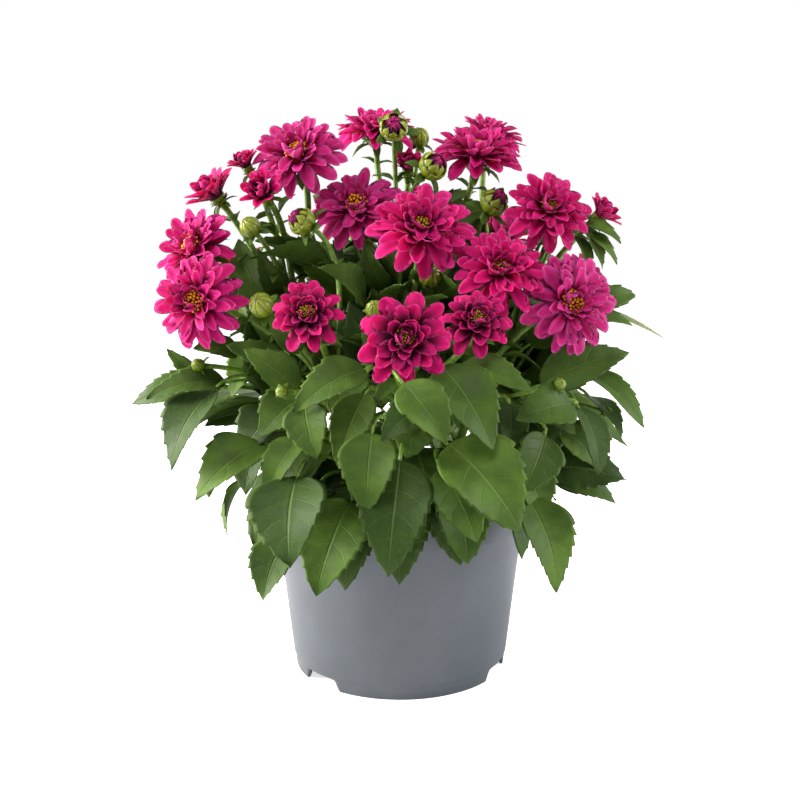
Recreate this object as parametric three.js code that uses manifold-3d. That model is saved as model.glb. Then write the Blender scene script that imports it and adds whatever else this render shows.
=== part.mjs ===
// Potted dahlia: a bushy pot plant with magenta double flowers in a tapered nursery pot.
// Millimetres, +Z up. The origin is on the pot's axis, on the surface that the pot stands on.
// The side that is drawn by hand faces -Y. Azimuths start there and turn towards +X.

import * as THREE from "three";
import { mergeVertices } from "three/addons/utils/BufferGeometryUtils.js";
import Module from "manifold-3d";

const wasm = await Module();
wasm.setup();

// Pot
const FOOT_RADIUS = 54;
const STEP_HEIGHT = 7;
const STEP_OUT = 0.4;
const WALL_TOP_RADIUS = 63;
const WALL_TOP_HEIGHT = 75.6;
const RIM_RADIUS = 65;
const POT_HEIGHT = 90;
const WALL = 1.4;
const FLOOR_HEIGHT = 9.2;
const POT_SIDES = 32;
const NOTCH_HEIGHT = 6;
const NOTCH_WIDTH = 24;
const NOTCH_AZIMUTHS = [-46, 65, 190];
const DRAIN_RADIUS = 4;
const DRAIN_CIRCLE = 34;
const DRAIN_COUNT = 5;

// Soil
const SEAT_GAP = 0.3;
const SOIL_EDGE_HEIGHT = 74;
const SOIL_CROWN_HEIGHT = 79;
const SOIL_SIDES = 16;
const STEM_HOLE_FLOOR = 48;
const STEM_HOLE_SIDES = 6;

// Stems, stalks and leaf stalks
const STEM_RADIUS = 3;
const STEM_TIP_RADIUS = 2.3;
const STEM_SIDES = 6;
const STEM_ROOT = 34;
const STALK_RADIUS = 1.7;
const STALK_SIDES = 4;
const STALK_STEPS = 3;
const FORK_LOW = 0.66;
const FORK_HIGH = 0.98;
const CALYX_LENGTH = 8;
const LEAF_STALK_RADIUS = 1.2;

// Leaves
const LEAF_THICKNESS = 1.2;
const LEAF_ARCH = 0.13;
const LEAF_FOLD = 0.1;
const TOOTH_DEPTH = 0.15;
const LARGE_LEAF = 28;
const BEND_COST = 3;
const LEAF_STALK_DROP = 14;
const LEAF_FORK_LOW = 0.22;
const LEAF_FORK_HIGH = 0.9;

// Petals
const PETAL_THICKNESS = 1.1;
const WHORL_RISE = 0.7;
const PETAL_CUP = 0.05;
const PETAL_SPREAD = 0.35;
const PETAL_NOTCH = 0.56;
const PETAL_SHOULDER = 0.78;
const BRACT_THICKNESS = 1;
const DISC_GAP = 0.5;
const LARGE_BUD = 4.5;

const UP = new THREE.Vector3(0, 0, 1);
const rad = THREE.MathUtils.degToRad;

// The eight leafy shoots: where each stands in the soil, and where its main stem ends.
const SHOOTS = {
  middle: { foot: [0, 4], top: [0, 10, 168] },
  front_left: { foot: [-17, -18], top: [-30, -40, 142] },
  front: { foot: [2, -25], top: [3, -50, 146] },
  front_right: { foot: [20, -16], top: [32, -40, 142] },
  left: { foot: [-26, 4], top: [-54, -6, 146] },
  right: { foot: [26, 5], top: [54, 0, 146] },
  back_left: { foot: [-16, 24], top: [-36, 46, 142] },
  back_right: { foot: [17, 24], top: [36, 46, 142] },
};

// How far a flower has opened: petals in each whorl, their slope at the hub and at the tip, their
// length against the outer whorl's, the hub's size against the flower's radius, and how many of the
// whorls have broad petals.
const STAGES = {
  open: {
    counts: [8, 6, 5], slopes: [14, 36, 58], tips: [2, 26, 58], lengths: [1, 0.85, 0.62], hub: 0.25, broad: 2,
  },
  young: {
    counts: [8, 6, 5], slopes: [20, 46, 72], tips: [6, 38, 90], lengths: [1, 0.82, 0.6], hub: 0.18, broad: 2,
  },
  half: { counts: [5, 4], slopes: [42, 68], tips: [52, 80], lengths: [1.25, 1.15], hub: 0.26, broad: 0 },
  tight: { counts: [5, 4], slopes: [58, 78], tips: [82, 98], lengths: [1.2, 1.05], hub: 0.5, broad: 0 },
};

// Flowers: the shoot, the middle of the flower, azimuth and elevation of its axis, radius, stage, disc.
function bloom(name, shoot, at, facing, radius, stage, disc = null) {
  return { name, shoot, at, facing, radius, stage, disc };
}

const BLOOMS = [
  bloom("top_left", "left", [-50, -5, 259], [-15, 45], 23, "open", "orange"),
  bloom("top_mid", "middle", [-13, 35, 274], [-10, 74], 21.5, "open", "yellow"),
  bloom("top_right", "middle", [38, 10, 261], [15, 68], 24, "open", "yellow"),
  bloom("crest", "right", [48, 52, 272], [60, 78], 19, "open", "yellow"),
  bloom("centre_left", "middle", [-21, -8, 234], [-8, 36], 22, "open", "orange"),
  bloom("centre", "front", [10, -45, 224], [4, 36], 24, "young", "yellow"),
  bloom("left_high", "left", [-100, -16, 214], [-50, 32], 21.5, "open", "orange"),
  bloom("left_low", "front_left", [-92, -52, 191], [-18, 12], 22, "open", "orange"),
  bloom("right_high", "right", [71, -15, 232], [12, 34], 21, "young", "yellow"),
  bloom("right_mid", "front_right", [45, -55, 205], [6, 34], 21, "young", "yellow"),
  bloom("right_low", "front_right", [78, -52, 190], [20, 12], 23, "open", "orange"),
  bloom("small_left", "front_left", [-40, -75, 187], [-6, 24], 16.5, "young", "yellow"),
  bloom("front", "front", [2, -92, 178], [0, 14], 21, "young", "yellow"),
  bloom("small_right", "front", [33, -76, 184], [4, 36], 16.5, "young", "yellow"),
  bloom("back_far_left", "back_left", [-92, 56, 196], [-125, 34], 22, "open", "orange"),
  bloom("back_high", "back_left", [-30, 84, 232], [-165, 48], 22, "open", "yellow"),
  bloom("back_right", "back_right", [58, 82, 216], [150, 38], 22, "young", "yellow"),
  bloom("back_far_right", "right", [98, 44, 192], [112, 28], 21, "open", "orange"),
  bloom("back_low_left", "back_left", [-36, 94, 180], [-165, 18], 20, "young", "yellow"),
  bloom("back_low_right", "back_right", [24, 96, 176], [170, 16], 21, "open", "orange"),
  bloom("side_left", "left", [-91, -4, 240], [-55, 50], 13, "half"),
  bloom("young_left", "left", [-65, -18, 240], [-20, 34], 10, "half"),
  bloom("opening_left", "left", [-76, 2, 254], [-60, 60], 8, "half"),
  bloom("young_right", "right", [99, -2, 230], [60, 42], 9.5, "half"),
  bloom("young_top", "middle", [4, 27, 254], [0, 60], 8.5, "half"),
];

// Buds: the shoot, the middle of the bud, azimuth and elevation of its axis, radius. A coloured bud
// has opened enough to show petals.
function bud(name, shoot, at, facing, radius, coloured = false) {
  return { name, shoot, at, facing, radius, coloured };
}

const BUDS = [
  bud("bud_top", "middle", [-3, 2, 271], [0, 20], 6.8, true),
  bud("bud_top_right", "middle", [16, -10, 252], [40, 30], 6.8, true),
  bud("bud_right", "right", [46, -4, 235], [40, 40], 6.8, true),
  bud("bud_left", "front_left", [-46, -28, 226], [-60, 30], 6.4, true),
  bud("bud_crest", "middle", [10, 40, 268], [10, 60], 5),
  bud("bud_far_left", "left", [-70, -26, 223], [-40, 40], 4.8),
  bud("bud_low_left", "front_left", [-62, -55, 189], [-20, 30], 5.4),
  bud("bud_centre", "front", [14, -33, 201], [10, 20], 5.4),
  bud("bud_front", "front", [-11, -68, 188], [-10, 40], 4),
  bud("bud_small_front", "front_left", [-51, -80, 154], [-20, 10], 2.6),
  bud("bud_small_left", "left", [-94, -40, 160], [-50, 10], 3),
  bud("bud_small_right", "front_right", [70, -72, 156], [20, 20], 2.6),
  bud("bud_side_right", "right", [98, -38, 137], [50, -10], 2.6),
  bud("bud_back", "back_right", [12, 90, 216], [175, 50], 6),
  bud("bud_back_left", "back_left", [-66, 78, 214], [-140, 50], 5),
];

// Leaves on the hand-drawn side: the shoot, the blade's foot, its tip and its width, and the way that
// its upper face looks where that isn't forwards, upwards and a little outwards.
function frontLeaf(shoot, foot, tip, width, face = [foot[0] / 150, -0.75, 0.7]) {
  return { shoot, foot, tip, width, face };
}

const FRONT_LEAVES = [
  frontLeaf("front_left", [-46, -72, 114], [-47, -98, 81], 38),
  frontLeaf("front_left", [-51, -60, 84], [-61, -80, 59], 24),
  frontLeaf("front", [-22, -62, 101], [-37, -84, 63], 34),
  frontLeaf("front", [0, -80, 124], [-5, -108, 80], 33),
  frontLeaf("front", [-12, -84, 137], [-14, -102, 106], 26),
  frontLeaf("front", [25, -64, 104], [30, -82, 77], 26),
  frontLeaf("front_right", [18, -74, 118], [33, -94, 90], 27),
  frontLeaf("front_right", [20, -90, 133], [50, -108, 100], 38),
  frontLeaf("front_right", [58, -60, 102], [71, -74, 61], 27),
  frontLeaf("front_left", [-62, -52, 125], [-92, -70, 103], 28),
  frontLeaf("left", [-75, -10, 100], [-86, -22, 72], 24, [-1, -0.1, 0.3]),
  frontLeaf("left", [-66, -25, 121], [-74, -38, 97], 19),
  frontLeaf("front_left", [-44, -58, 130], [-60, -74, 106], 18),
  frontLeaf("right", [69, -40, 110], [106, -46, 106], 29),
  frontLeaf("right", [74, -26, 103], [105, -30, 91], 20),
  frontLeaf("front_right", [65, -66, 132], [53, -82, 109], 23),
  frontLeaf("front_right", [76, -68, 149], [49, -84, 147], 21),
  frontLeaf("right", [82, -50, 142], [90, -64, 113], 18),
  frontLeaf("right", [86, -34, 156], [114, -46, 131], 17),
  frontLeaf("right", [90, -30, 144], [103, -48, 126], 13),
  frontLeaf("right", [64, -46, 151], [107, -40, 166], 22),
  frontLeaf("front_right", [26, -72, 164], [56, -90, 155], 16),
  frontLeaf("front_right", [17, -82, 166], [39, -100, 132], 27),
  frontLeaf("front", [1, -102, 161], [19, -112, 138], 22),
  frontLeaf("front", [13, -84, 150], [-8, -104, 137], 20),
  frontLeaf("front_right", [49, -62, 146], [47, -78, 124], 16),
  frontLeaf("front_left", [-15, -74, 163], [-45, -92, 147], 22),
  frontLeaf("front_left", [-41, -86, 150], [-35, -98, 128], 20),
  frontLeaf("front", [-15, -66, 151], [-27, -86, 122], 20),
  frontLeaf("left", [-86, -44, 149], [-104, -62, 115], 28),
  frontLeaf("left", [-82, -36, 151], [-117, -48, 145], 19),
  frontLeaf("left", [-88, -14, 145], [-134, -8, 136], 20),
  frontLeaf("left", [-66, -20, 134], [-97, -16, 126], 17),
  frontLeaf("front_left", [-46, -55, 150], [-70, -60, 170], 18),
  frontLeaf("left", [-76, -30, 164], [-97, -36, 167], 14),
  frontLeaf("right", [94, -14, 186], [116, -6, 190], 13),
  frontLeaf("right", [98, -6, 184], [132, -4, 168], 9, [0.4, 0, 0.9]),
];

// Leaves round the back, in tiers: azimuths of the first and last, how many, then radius and height of
// the blade's foot and of its tip, and the width.
const BACK_TIERS = [
  { from: 96, to: 264, count: 8, foot: [58, 112], tip: [106, 80], width: 38 },
  { from: 80, to: 280, count: 9, foot: [60, 136], tip: [121, 118], width: 37 },
  { from: 106, to: 254, count: 6, foot: [44, 158], tip: [94, 160], width: 34 },
  { from: 130, to: 230, count: 4, foot: [24, 164], tip: [52, 200], width: 26 },
];
const BACK_LENGTHS = [1, 0.92, 1.04, 0.96];
const BACK_SIDESTEP = 5;

// Materials
function finish(colour, roughness) {
  return new THREE.MeshStandardMaterial({ color: colour, roughness, metalness: 0 });
}

const MATERIALS = {
  pot: finish("#6f7881", 0.42),
  soil: finish("#3a2a1f", 0.95),
  shoot: finish("#4f7a32", 0.5),
  petal: finish("#c8146e", 0.5),
  petalDark: finish("#8a1250", 0.5),
  discYellow: finish("#c9b832", 0.65),
  discOrange: finish("#d9821f", 0.65),
};

// Solids and meshes
function solidFromGeometry(geometry) {
  geometry.deleteAttribute("normal");
  geometry.deleteAttribute("uv");
  const merged = mergeVertices(geometry, 1e-4);
  return new wasm.Manifold(
    new wasm.Mesh({
      numProp: 3,
      vertProperties: new Float32Array(merged.attributes.position.array),
      triVerts: new Uint32Array(merged.index.array),
    }),
  );
}

function meshFromSolid(solid, name, material) {
  const { vertProperties, triVerts } = solid.getMesh();
  const geometry = new THREE.BufferGeometry();
  geometry.setAttribute("position", new THREE.BufferAttribute(vertProperties, 3));
  geometry.setIndex(new THREE.BufferAttribute(triVerts, 1));
  const mesh = new THREE.Mesh(geometry, material);
  mesh.name = name;
  return mesh;
}

function fuse(solids) {
  const pieces = wasm.Manifold.union(solids).decompose();
  return pieces.reduce((largest, piece) => (piece.volume() > largest.volume() ? piece : largest));
}

// A place to build on: an origin and three unit axes, z along the stalk or the flower's axis.
function frameAt(origin, axis, spin = 0) {
  const z = axis.clone().normalize();
  const hint = Math.abs(z.z) > 0.9 ? new THREE.Vector3(1, 0, 0) : UP;
  const x = new THREE.Vector3().crossVectors(hint, z).normalize().applyAxisAngle(z, spin);
  const y = new THREE.Vector3().crossVectors(z, x);
  return { origin, x, y, z };
}

function moved(frame, distance) {
  return { ...frame, origin: frame.origin.clone().addScaledVector(frame.z, distance) };
}

function axisFrom([azimuth, elevation]) {
  const level = Math.cos(rad(elevation));
  return new THREE.Vector3(
    Math.sin(rad(azimuth)) * level,
    -Math.cos(rad(azimuth)) * level,
    Math.sin(rad(elevation)),
  );
}

// A skin is one closed surface that is built up ring by ring, from the foot to the tip.
// A ring is a list of point numbers, and the turn of its first point as a part of a full turn.
class Skin {
  constructor() {
    this.points = [];
    this.faces = [];
  }

  add(frame, turn, radius, height) {
    const angle = turn * 2 * Math.PI;
    const point = frame.origin.clone();
    point.addScaledVector(frame.x, radius * Math.cos(angle));
    point.addScaledVector(frame.y, radius * Math.sin(angle));
    point.addScaledVector(frame.z, height);
    return this.points.push(point) - 1;
  }

  ring(frame, count, radius, height = 0, start = 0) {
    const ids = Array.from({ length: count }, (_, i) => this.add(frame, start + i / count, radius, height));
    return { ids, start };
  }

  // Joins two rings, the second one nearer the tip, stepping on whichever ring lies behind.
  band(low, high) {
    let i = 0;
    let j = 0;
    const lows = low.ids.length;
    const highs = high.ids.length;
    while (i < lows || j < highs) {
      const lowTurn = low.start + (i + 1) / lows;
      const highTurn = high.start + (j + 1) / highs;
      if (j >= highs || (i < lows && lowTurn <= highTurn)) {
        this.faces.push([low.ids[i], low.ids[(i + 1) % lows], high.ids[j % highs]]);
        i += 1;
      } else {
        this.faces.push([low.ids[i % lows], high.ids[(j + 1) % highs], high.ids[j]]);
        j += 1;
      }
    }
    return high;
  }

  capFoot({ ids }) {
    for (let i = 1; i < ids.length - 1; i += 1) {
      this.faces.push([ids[0], ids[i + 1], ids[i]]);
    }
  }

  capTip({ ids }) {
    for (let i = 1; i < ids.length - 1; i += 1) {
      this.faces.push([ids[0], ids[i], ids[i + 1]]);
    }
  }

  point({ ids }, frame, height) {
    const tip = this.add(frame, 0, 0, height);
    ids.forEach((id, i) => this.faces.push([id, ids[(i + 1) % ids.length], tip]));
  }

  // A ring of petals or bracts. A petal's point at share s of its length lies at radius
  // inner + length s cos(slope) and height low + length s sin(slope), with a slope that runs from the
  // one at the hub to the one at the tip. Both faces share the sharp outline and differ at mid-petal.
  // A broad petal has shoulders, a pointed one has none, and a bract is a four-sided spike.
  whorl(frame, { count, start, inner, low, thickness, length, slope, tip, shape }) {
    const place = (turn, share, lift) => {
      const angle = rad(slope + (tip - slope) * share);
      const radius = inner + length * share * Math.cos(angle) - lift * Math.sin(angle);
      const height = low + thickness / 2 + length * share * Math.sin(angle) + lift * Math.cos(angle);
      return this.add(frame, turn, Math.max(radius, 0.4), height);
    };
    const step = 1 / count;
    const first = start - step / 2;
    const under = this.ring(frame, count, inner, low, first);
    const over = this.ring(frame, count, inner, low + thickness, first);
    const sink = -PETAL_CUP * length;
    const spread = PETAL_SPREAD * step;
    const notches = shape === "bract" ? [] : under.ids.map((_, i) => place(first + i * step, PETAL_NOTCH, 0));
    for (let i = 0; i < count; i += 1) {
      const turn = start + i * step;
      const next = (i + 1) % count;
      const end = place(turn, 1, 0);
      if (shape === "bract") {
        this.faces.push([over.ids[i], end, over.ids[next]]);
        this.faces.push([over.ids[next], end, under.ids[next]]);
        this.faces.push([under.ids[next], end, under.ids[i]]);
        this.faces.push([under.ids[i], end, over.ids[i]]);
      } else {
        const sides = shape === "broad" ? [-spread, spread] : [];
        const [left, right] = sides.map((offset) => place(turn + offset, PETAL_SHOULDER, 0));
        const outline = [notches[i], left, end, right, notches[next]].filter((id) => id !== undefined);
        const top = place(turn, PETAL_NOTCH, sink + thickness / 2);
        const bottom = place(turn, PETAL_NOTCH, sink - thickness / 2);
        this.fan(top, [over.ids[i], ...outline, over.ids[next]], false);
        this.fan(bottom, [under.ids[i], ...outline, under.ids[next]], true);
      }
    }
    return { under, over };
  }

  // Triangles from a middle point to a closed outline, which runs anticlockwise seen from the tip.
  fan(middle, outline, reversed) {
    outline.forEach((id, i) => {
      const next = outline[(i + 1) % outline.length];
      this.faces.push(reversed ? [middle, next, id] : [middle, id, next]);
    });
  }

  solid() {
    return new wasm.Manifold(
      new wasm.Mesh({
        numProp: 3,
        vertProperties: new Float32Array(this.points.flatMap((point) => point.toArray())),
        triVerts: new Uint32Array(this.faces.flat()),
      }),
    );
  }
}

// Pot and soil
function turned(profile, sides) {
  const points = profile.map(([radius, height]) => new THREE.Vector2(radius, height));
  const geometry = new THREE.LatheGeometry(points, sides);
  geometry.rotateX(Math.PI / 2);
  return solidFromGeometry(geometry);
}

function wallRadius(height) {
  const share = (height - STEP_HEIGHT) / (WALL_TOP_HEIGHT - STEP_HEIGHT);
  const low = FOOT_RADIUS + 1.2;
  return low + (WALL_TOP_RADIUS - low) * share;
}

function notchCutter(azimuth) {
  const half = NOTCH_WIDTH / 2;
  const outline = new THREE.Shape([
    new THREE.Vector2(-half - 1, -1),
    new THREE.Vector2(half + 1, -1),
    new THREE.Vector2(half - 1, 2.2),
    new THREE.Vector2(half - 2.4, NOTCH_HEIGHT - 1),
    new THREE.Vector2(half - 4, NOTCH_HEIGHT),
    new THREE.Vector2(-half + 4, NOTCH_HEIGHT),
    new THREE.Vector2(-half + 2.4, NOTCH_HEIGHT - 1),
    new THREE.Vector2(-half + 1, 2.2),
  ]);
  const geometry = new THREE.ExtrudeGeometry(outline, { depth: 16, bevelEnabled: false });
  geometry.rotateX(Math.PI / 2);
  geometry.translate(0, -FOOT_RADIUS + 8, 0);
  geometry.rotateZ(rad(azimuth));
  return solidFromGeometry(geometry);
}

function drainCutter(index) {
  const geometry = new THREE.CylinderGeometry(DRAIN_RADIUS, DRAIN_RADIUS, 6, 8);
  geometry.rotateX(Math.PI / 2);
  geometry.translate(DRAIN_CIRCLE, 0, FLOOR_HEIGHT - WALL / 2);
  geometry.rotateZ((2 * Math.PI * (index + 0.5)) / DRAIN_COUNT);
  return solidFromGeometry(geometry);
}

function makePot() {
  const shell = turned(
    [
      [0, FLOOR_HEIGHT - WALL],
      [FOOT_RADIUS - WALL, FLOOR_HEIGHT - WALL],
      [FOOT_RADIUS - WALL - 0.2, 0],
      [FOOT_RADIUS, 0],
      [FOOT_RADIUS + 0.8, STEP_HEIGHT - STEP_OUT],
      [FOOT_RADIUS + 1.2, STEP_HEIGHT],
      [WALL_TOP_RADIUS, WALL_TOP_HEIGHT],
      [RIM_RADIUS - 0.4, WALL_TOP_HEIGHT + 0.6],
      [RIM_RADIUS, POT_HEIGHT - 1.4],
      [RIM_RADIUS - 0.8, POT_HEIGHT],
      [RIM_RADIUS - 2, POT_HEIGHT],
      [RIM_RADIUS - 2.2, WALL_TOP_HEIGHT + 2],
      [WALL_TOP_RADIUS - WALL, WALL_TOP_HEIGHT - 1],
      [wallRadius(FLOOR_HEIGHT) - WALL, FLOOR_HEIGHT],
      [0, FLOOR_HEIGHT],
    ],
    POT_SIDES,
  );
  const cutters = NOTCH_AZIMUTHS.map(notchCutter);
  for (let i = 0; i < DRAIN_COUNT; i += 1) {
    cutters.push(drainCutter(i));
  }
  return shell.subtract(wasm.Manifold.union(cutters));
}

function makeSoil() {
  const body = turned(
    [
      [0, FLOOR_HEIGHT + SEAT_GAP],
      [wallRadius(FLOOR_HEIGHT) - WALL - SEAT_GAP, FLOOR_HEIGHT + SEAT_GAP],
      [wallRadius(SOIL_EDGE_HEIGHT) - WALL - SEAT_GAP, SOIL_EDGE_HEIGHT],
      [44, SOIL_EDGE_HEIGHT + 3],
      [0, SOIL_CROWN_HEIGHT],
    ],
    SOIL_SIDES,
  );
  const holes = Object.values(SHOOTS).map(({ foot }) => {
    const radius = (STEM_RADIUS + SEAT_GAP) / Math.cos(Math.PI / STEM_HOLE_SIDES);
    const height = POT_HEIGHT - STEM_HOLE_FLOOR;
    const geometry = new THREE.CylinderGeometry(radius, radius, height, STEM_HOLE_SIDES);
    geometry.rotateX(Math.PI / 2);
    geometry.translate(foot[0], foot[1], STEM_HOLE_FLOOR + height / 2);
    return solidFromGeometry(geometry);
  });
  return body.subtract(wasm.Manifold.union(holes));
}

// Flowers
function flowerAxis(flower) {
  return axisFrom(flower.facing);
}

// The hub's flat underside: the flower's middle lies a fifth of its radius above it.
function hubFrame(flower, spin = 0) {
  const axis = flowerAxis(flower);
  const centre = new THREE.Vector3(...flower.at);
  return frameAt(centre.addScaledVector(axis, -0.2 * flower.radius), axis, spin);
}

function hubRadius(flower) {
  const stage = STAGES[flower.stage];
  return stage.hub * flower.radius + 0.9 * (stage.counts.length - 1);
}

function makePetals(flower, index) {
  const stage = STAGES[flower.stage];
  const frame = hubFrame(flower, index);
  const skin = new Skin();
  let inner = hubRadius(flower);
  let low = 0;
  const reach = flower.radius - inner;
  let ring = null;
  stage.counts.forEach((count, k) => {
    const { under, over } = skin.whorl(frame, {
      count,
      start: 0.09 * k,
      inner,
      low,
      thickness: PETAL_THICKNESS,
      length: reach * stage.lengths[k],
      slope: stage.slopes[k],
      tip: stage.tips[k],
      shape: k < stage.broad ? "broad" : "pointed",
    });
    if (ring) {
      skin.band(ring, under);
    } else {
      skin.capFoot(under);
    }
    ring = over;
    inner -= 0.9;
    low += PETAL_THICKNESS + WHORL_RISE;
  });
  skin.capTip(ring);
  return skin.solid();
}

function makeDisc(flower) {
  const stage = STAGES[flower.stage];
  const whorls = stage.counts.length;
  const seat = whorls * PETAL_THICKNESS + (whorls - 1) * WHORL_RISE + SEAT_GAP;
  const frame = moved(hubFrame(flower), seat);
  const radius = stage.hub * flower.radius * Math.cos(Math.PI / stage.counts.at(-1)) - DISC_GAP;
  const sides = 8;
  const skin = new Skin();
  const foot = skin.ring(frame, sides, radius, 0);
  const rim = { ids: [], start: 0.5 / sides };
  for (let i = 0; i < sides; i += 1) {
    const raised = i % 2 === 0;
    rim.ids.push(skin.add(frame, (i + 0.5) / sides, radius * (raised ? 0.8 : 0.55), raised ? 1.6 : 2.6));
  }
  skin.capFoot(foot);
  skin.band(foot, rim);
  skin.point(rim, frame, 2);
  return skin.solid();
}

// Stems and stalks
function mainStem({ foot, top }) {
  const end = new THREE.Vector3(...top);
  const start = new THREE.Vector3(foot[0], foot[1], STEM_HOLE_FLOOR + SEAT_GAP + STEM_ROOT);
  const rise = (end.z - start.z) / 2;
  return new THREE.CubicBezierCurve3(
    start,
    start.clone().addScaledVector(UP, rise * 0.8),
    end.clone().addScaledVector(UP, -rise * 0.6),
    end,
  );
}

function framesAlong(curve, steps) {
  const { tangents, normals, binormals } = curve.computeFrenetFrames(steps, false);
  return tangents.map((z, i) => ({
    origin: curve.getPointAt(i / steps),
    x: normals[i],
    y: binormals[i],
    z,
  }));
}

function makeStem(shoot) {
  const steps = 3;
  const frames = framesAlong(mainStem(shoot), steps);
  const skin = new Skin();
  let ring = skin.ring(moved(frames[0], -STEM_ROOT), STEM_SIDES, STEM_RADIUS);
  skin.capFoot(ring);
  frames.forEach((frame, i) => {
    const radius = STEM_RADIUS + ((STEM_TIP_RADIUS - STEM_RADIUS) * i) / steps;
    ring = skin.band(ring, skin.ring(frame, STEM_SIDES, radius));
  });
  skin.point(ring, frames[steps], STEM_TIP_RADIUS);
  return skin.solid();
}

// A stalk leaves its stem upwards and ends along the flower's axis, where the calyx starts.
// The higher a flower stands in its shoot, the higher its stalk forks off.
function stalkCurve(head, end, axis) {
  const stem = mainStem(SHOOTS[head.shoot]);
  const mates = [...BLOOMS, ...BUDS].filter((mate) => mate.shoot === head.shoot);
  const lower = mates.filter((mate) => mate.at[2] < head.at[2]).length;
  const start = stem.getPointAt(FORK_LOW + ((FORK_HIGH - FORK_LOW) * lower) / (mates.length - 1));
  const reach = end.distanceTo(start);
  const bow = new THREE.Vector3(...(head.bow ?? [0, 0, 0]));
  return new THREE.CubicBezierCurve3(
    start,
    start.clone().addScaledVector(UP, reach * 0.36).add(bow),
    end.clone().addScaledVector(axis, -reach * 0.3).add(bow),
    end,
  );
}

function startStalk(skin, curve, radius, steps) {
  const frames = framesAlong(curve, steps);
  let ring = skin.ring(frames[0], STALK_SIDES, radius * 1.15);
  skin.capFoot(ring);
  frames.slice(1).forEach((frame) => {
    ring = skin.band(ring, skin.ring(frame, STALK_SIDES, radius));
  });
  return { ring, frame: frames[steps] };
}

function bracts(skin, frame, ring, { height, radius, length, slope, tip }) {
  const { under, over } = skin.whorl(frame, {
    count: STALK_SIDES,
    start: 0.5 / STALK_SIDES,
    inner: radius,
    low: height,
    thickness: BRACT_THICKNESS,
    length,
    slope,
    tip,
    shape: "bract",
  });
  skin.band(ring, under);
  return over;
}

function makeFlowerStalk(flower) {
  const hub = hubFrame(flower);
  const radius = hubRadius(flower) - 0.2;
  const seat = moved(hub, -SEAT_GAP);
  const thin = Math.min(STALK_RADIUS, radius * 0.6);
  const curve = stalkCurve(flower, moved(seat, -CALYX_LENGTH).origin, hub.z);
  const skin = new Skin();
  const { ring, frame } = startStalk(skin, curve, thin, STALK_STEPS);
  const over = bracts(skin, frame, ring, {
    height: CALYX_LENGTH * 0.45,
    radius: radius * 0.8,
    length: Math.max(radius * 1.7, 6),
    slope: 4,
    tip: -16,
  });
  const rim = skin.ring(frame, STALK_SIDES, radius, CALYX_LENGTH, over.start);
  skin.band(over, rim);
  skin.capTip(rim);
  return skin.solid();
}

function makeBudStalk(bud) {
  const axis = axisFrom(bud.facing);
  const centre = new THREE.Vector3(...bud.at);
  const end = centre.clone().addScaledVector(axis, -bud.radius);
  const thin = Math.min(STALK_RADIUS * 0.8, bud.radius * 0.4);
  const curve = stalkCurve(bud, end, axis);
  const skin = new Skin();
  const large = bud.radius > LARGE_BUD;
  const start = startStalk(skin, curve, thin, large ? STALK_STEPS : STALK_STEPS - 1);
  const { frame } = start;
  let { ring } = start;
  const sides = large ? 6 : 4;
  if (large) {
    ring = bracts(skin, frame, ring, {
      height: 0.4,
      radius: 0.42 * bud.radius,
      length: bud.radius,
      slope: 10,
      tip: -30,
    });
  }
  const tilts = bud.coloured ? [-25, 8] : [-30, 5, 42];
  tilts.forEach((tilt) => {
    const level = bud.radius * Math.cos(rad(tilt));
    const height = bud.radius * (1 + Math.sin(rad(tilt)));
    ring = skin.band(ring, skin.ring(frame, sides, level, height));
  });
  if (bud.coloured) {
    skin.capTip(ring);
  } else {
    skin.point(ring, frame, bud.radius * 1.95);
  }
  return skin.solid();
}

// The petals that a coloured bud shows: a tight little flower on the flat top of its green cup.
function budFlower(bud) {
  const axis = axisFrom(bud.facing);
  const radius = bud.radius * 0.92;
  const cup = bud.radius * Math.sin(rad(8)) + SEAT_GAP;
  const middle = new THREE.Vector3(...bud.at).addScaledVector(axis, cup + 0.2 * radius);
  return { ...bud, at: middle.toArray(), radius, stage: "tight" };
}

// Leaves
function leafFrame(leaf) {
  const foot = new THREE.Vector3(...leaf.foot);
  const tip = new THREE.Vector3(...leaf.tip);
  const along = tip.clone().sub(foot);
  const length = along.length();
  along.normalize();
  const face = new THREE.Vector3(...leaf.face);
  const normal = face.addScaledVector(along, -face.dot(along)).normalize();
  const side = new THREE.Vector3().crossVectors(normal, along);
  return { foot, along, side, normal, length };
}

// Half the blade's width at share s of its length, against the full width.
function leafOutline(share) {
  return 0.5 * Math.sin(Math.PI * share ** 0.72) ** 0.85;
}

// Two chains that share both ends are joined by triangles, stepping on whichever chain lies behind.
function zip(rib, edge, left, faces) {
  let i = 0;
  let j = 0;
  while (i < rib.length - 1 || j < edge.length - 1) {
    const ribNext = i < rib.length - 1 ? rib[i + 1].share : Infinity;
    const edgeNext = j < edge.length - 1 ? edge[j + 1].share : Infinity;
    const corners = ribNext < edgeNext
      ? [rib[i].id, rib[i + 1].id, edge[j].id]
      : [rib[i].id, edge[j + 1].id, edge[j].id];
    if (ribNext < edgeNext) {
      i += 1;
    } else {
      j += 1;
    }
    if (new Set(corners).size === 3) {
      faces.push(left ? corners : corners.reverse());
    }
  }
}

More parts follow.
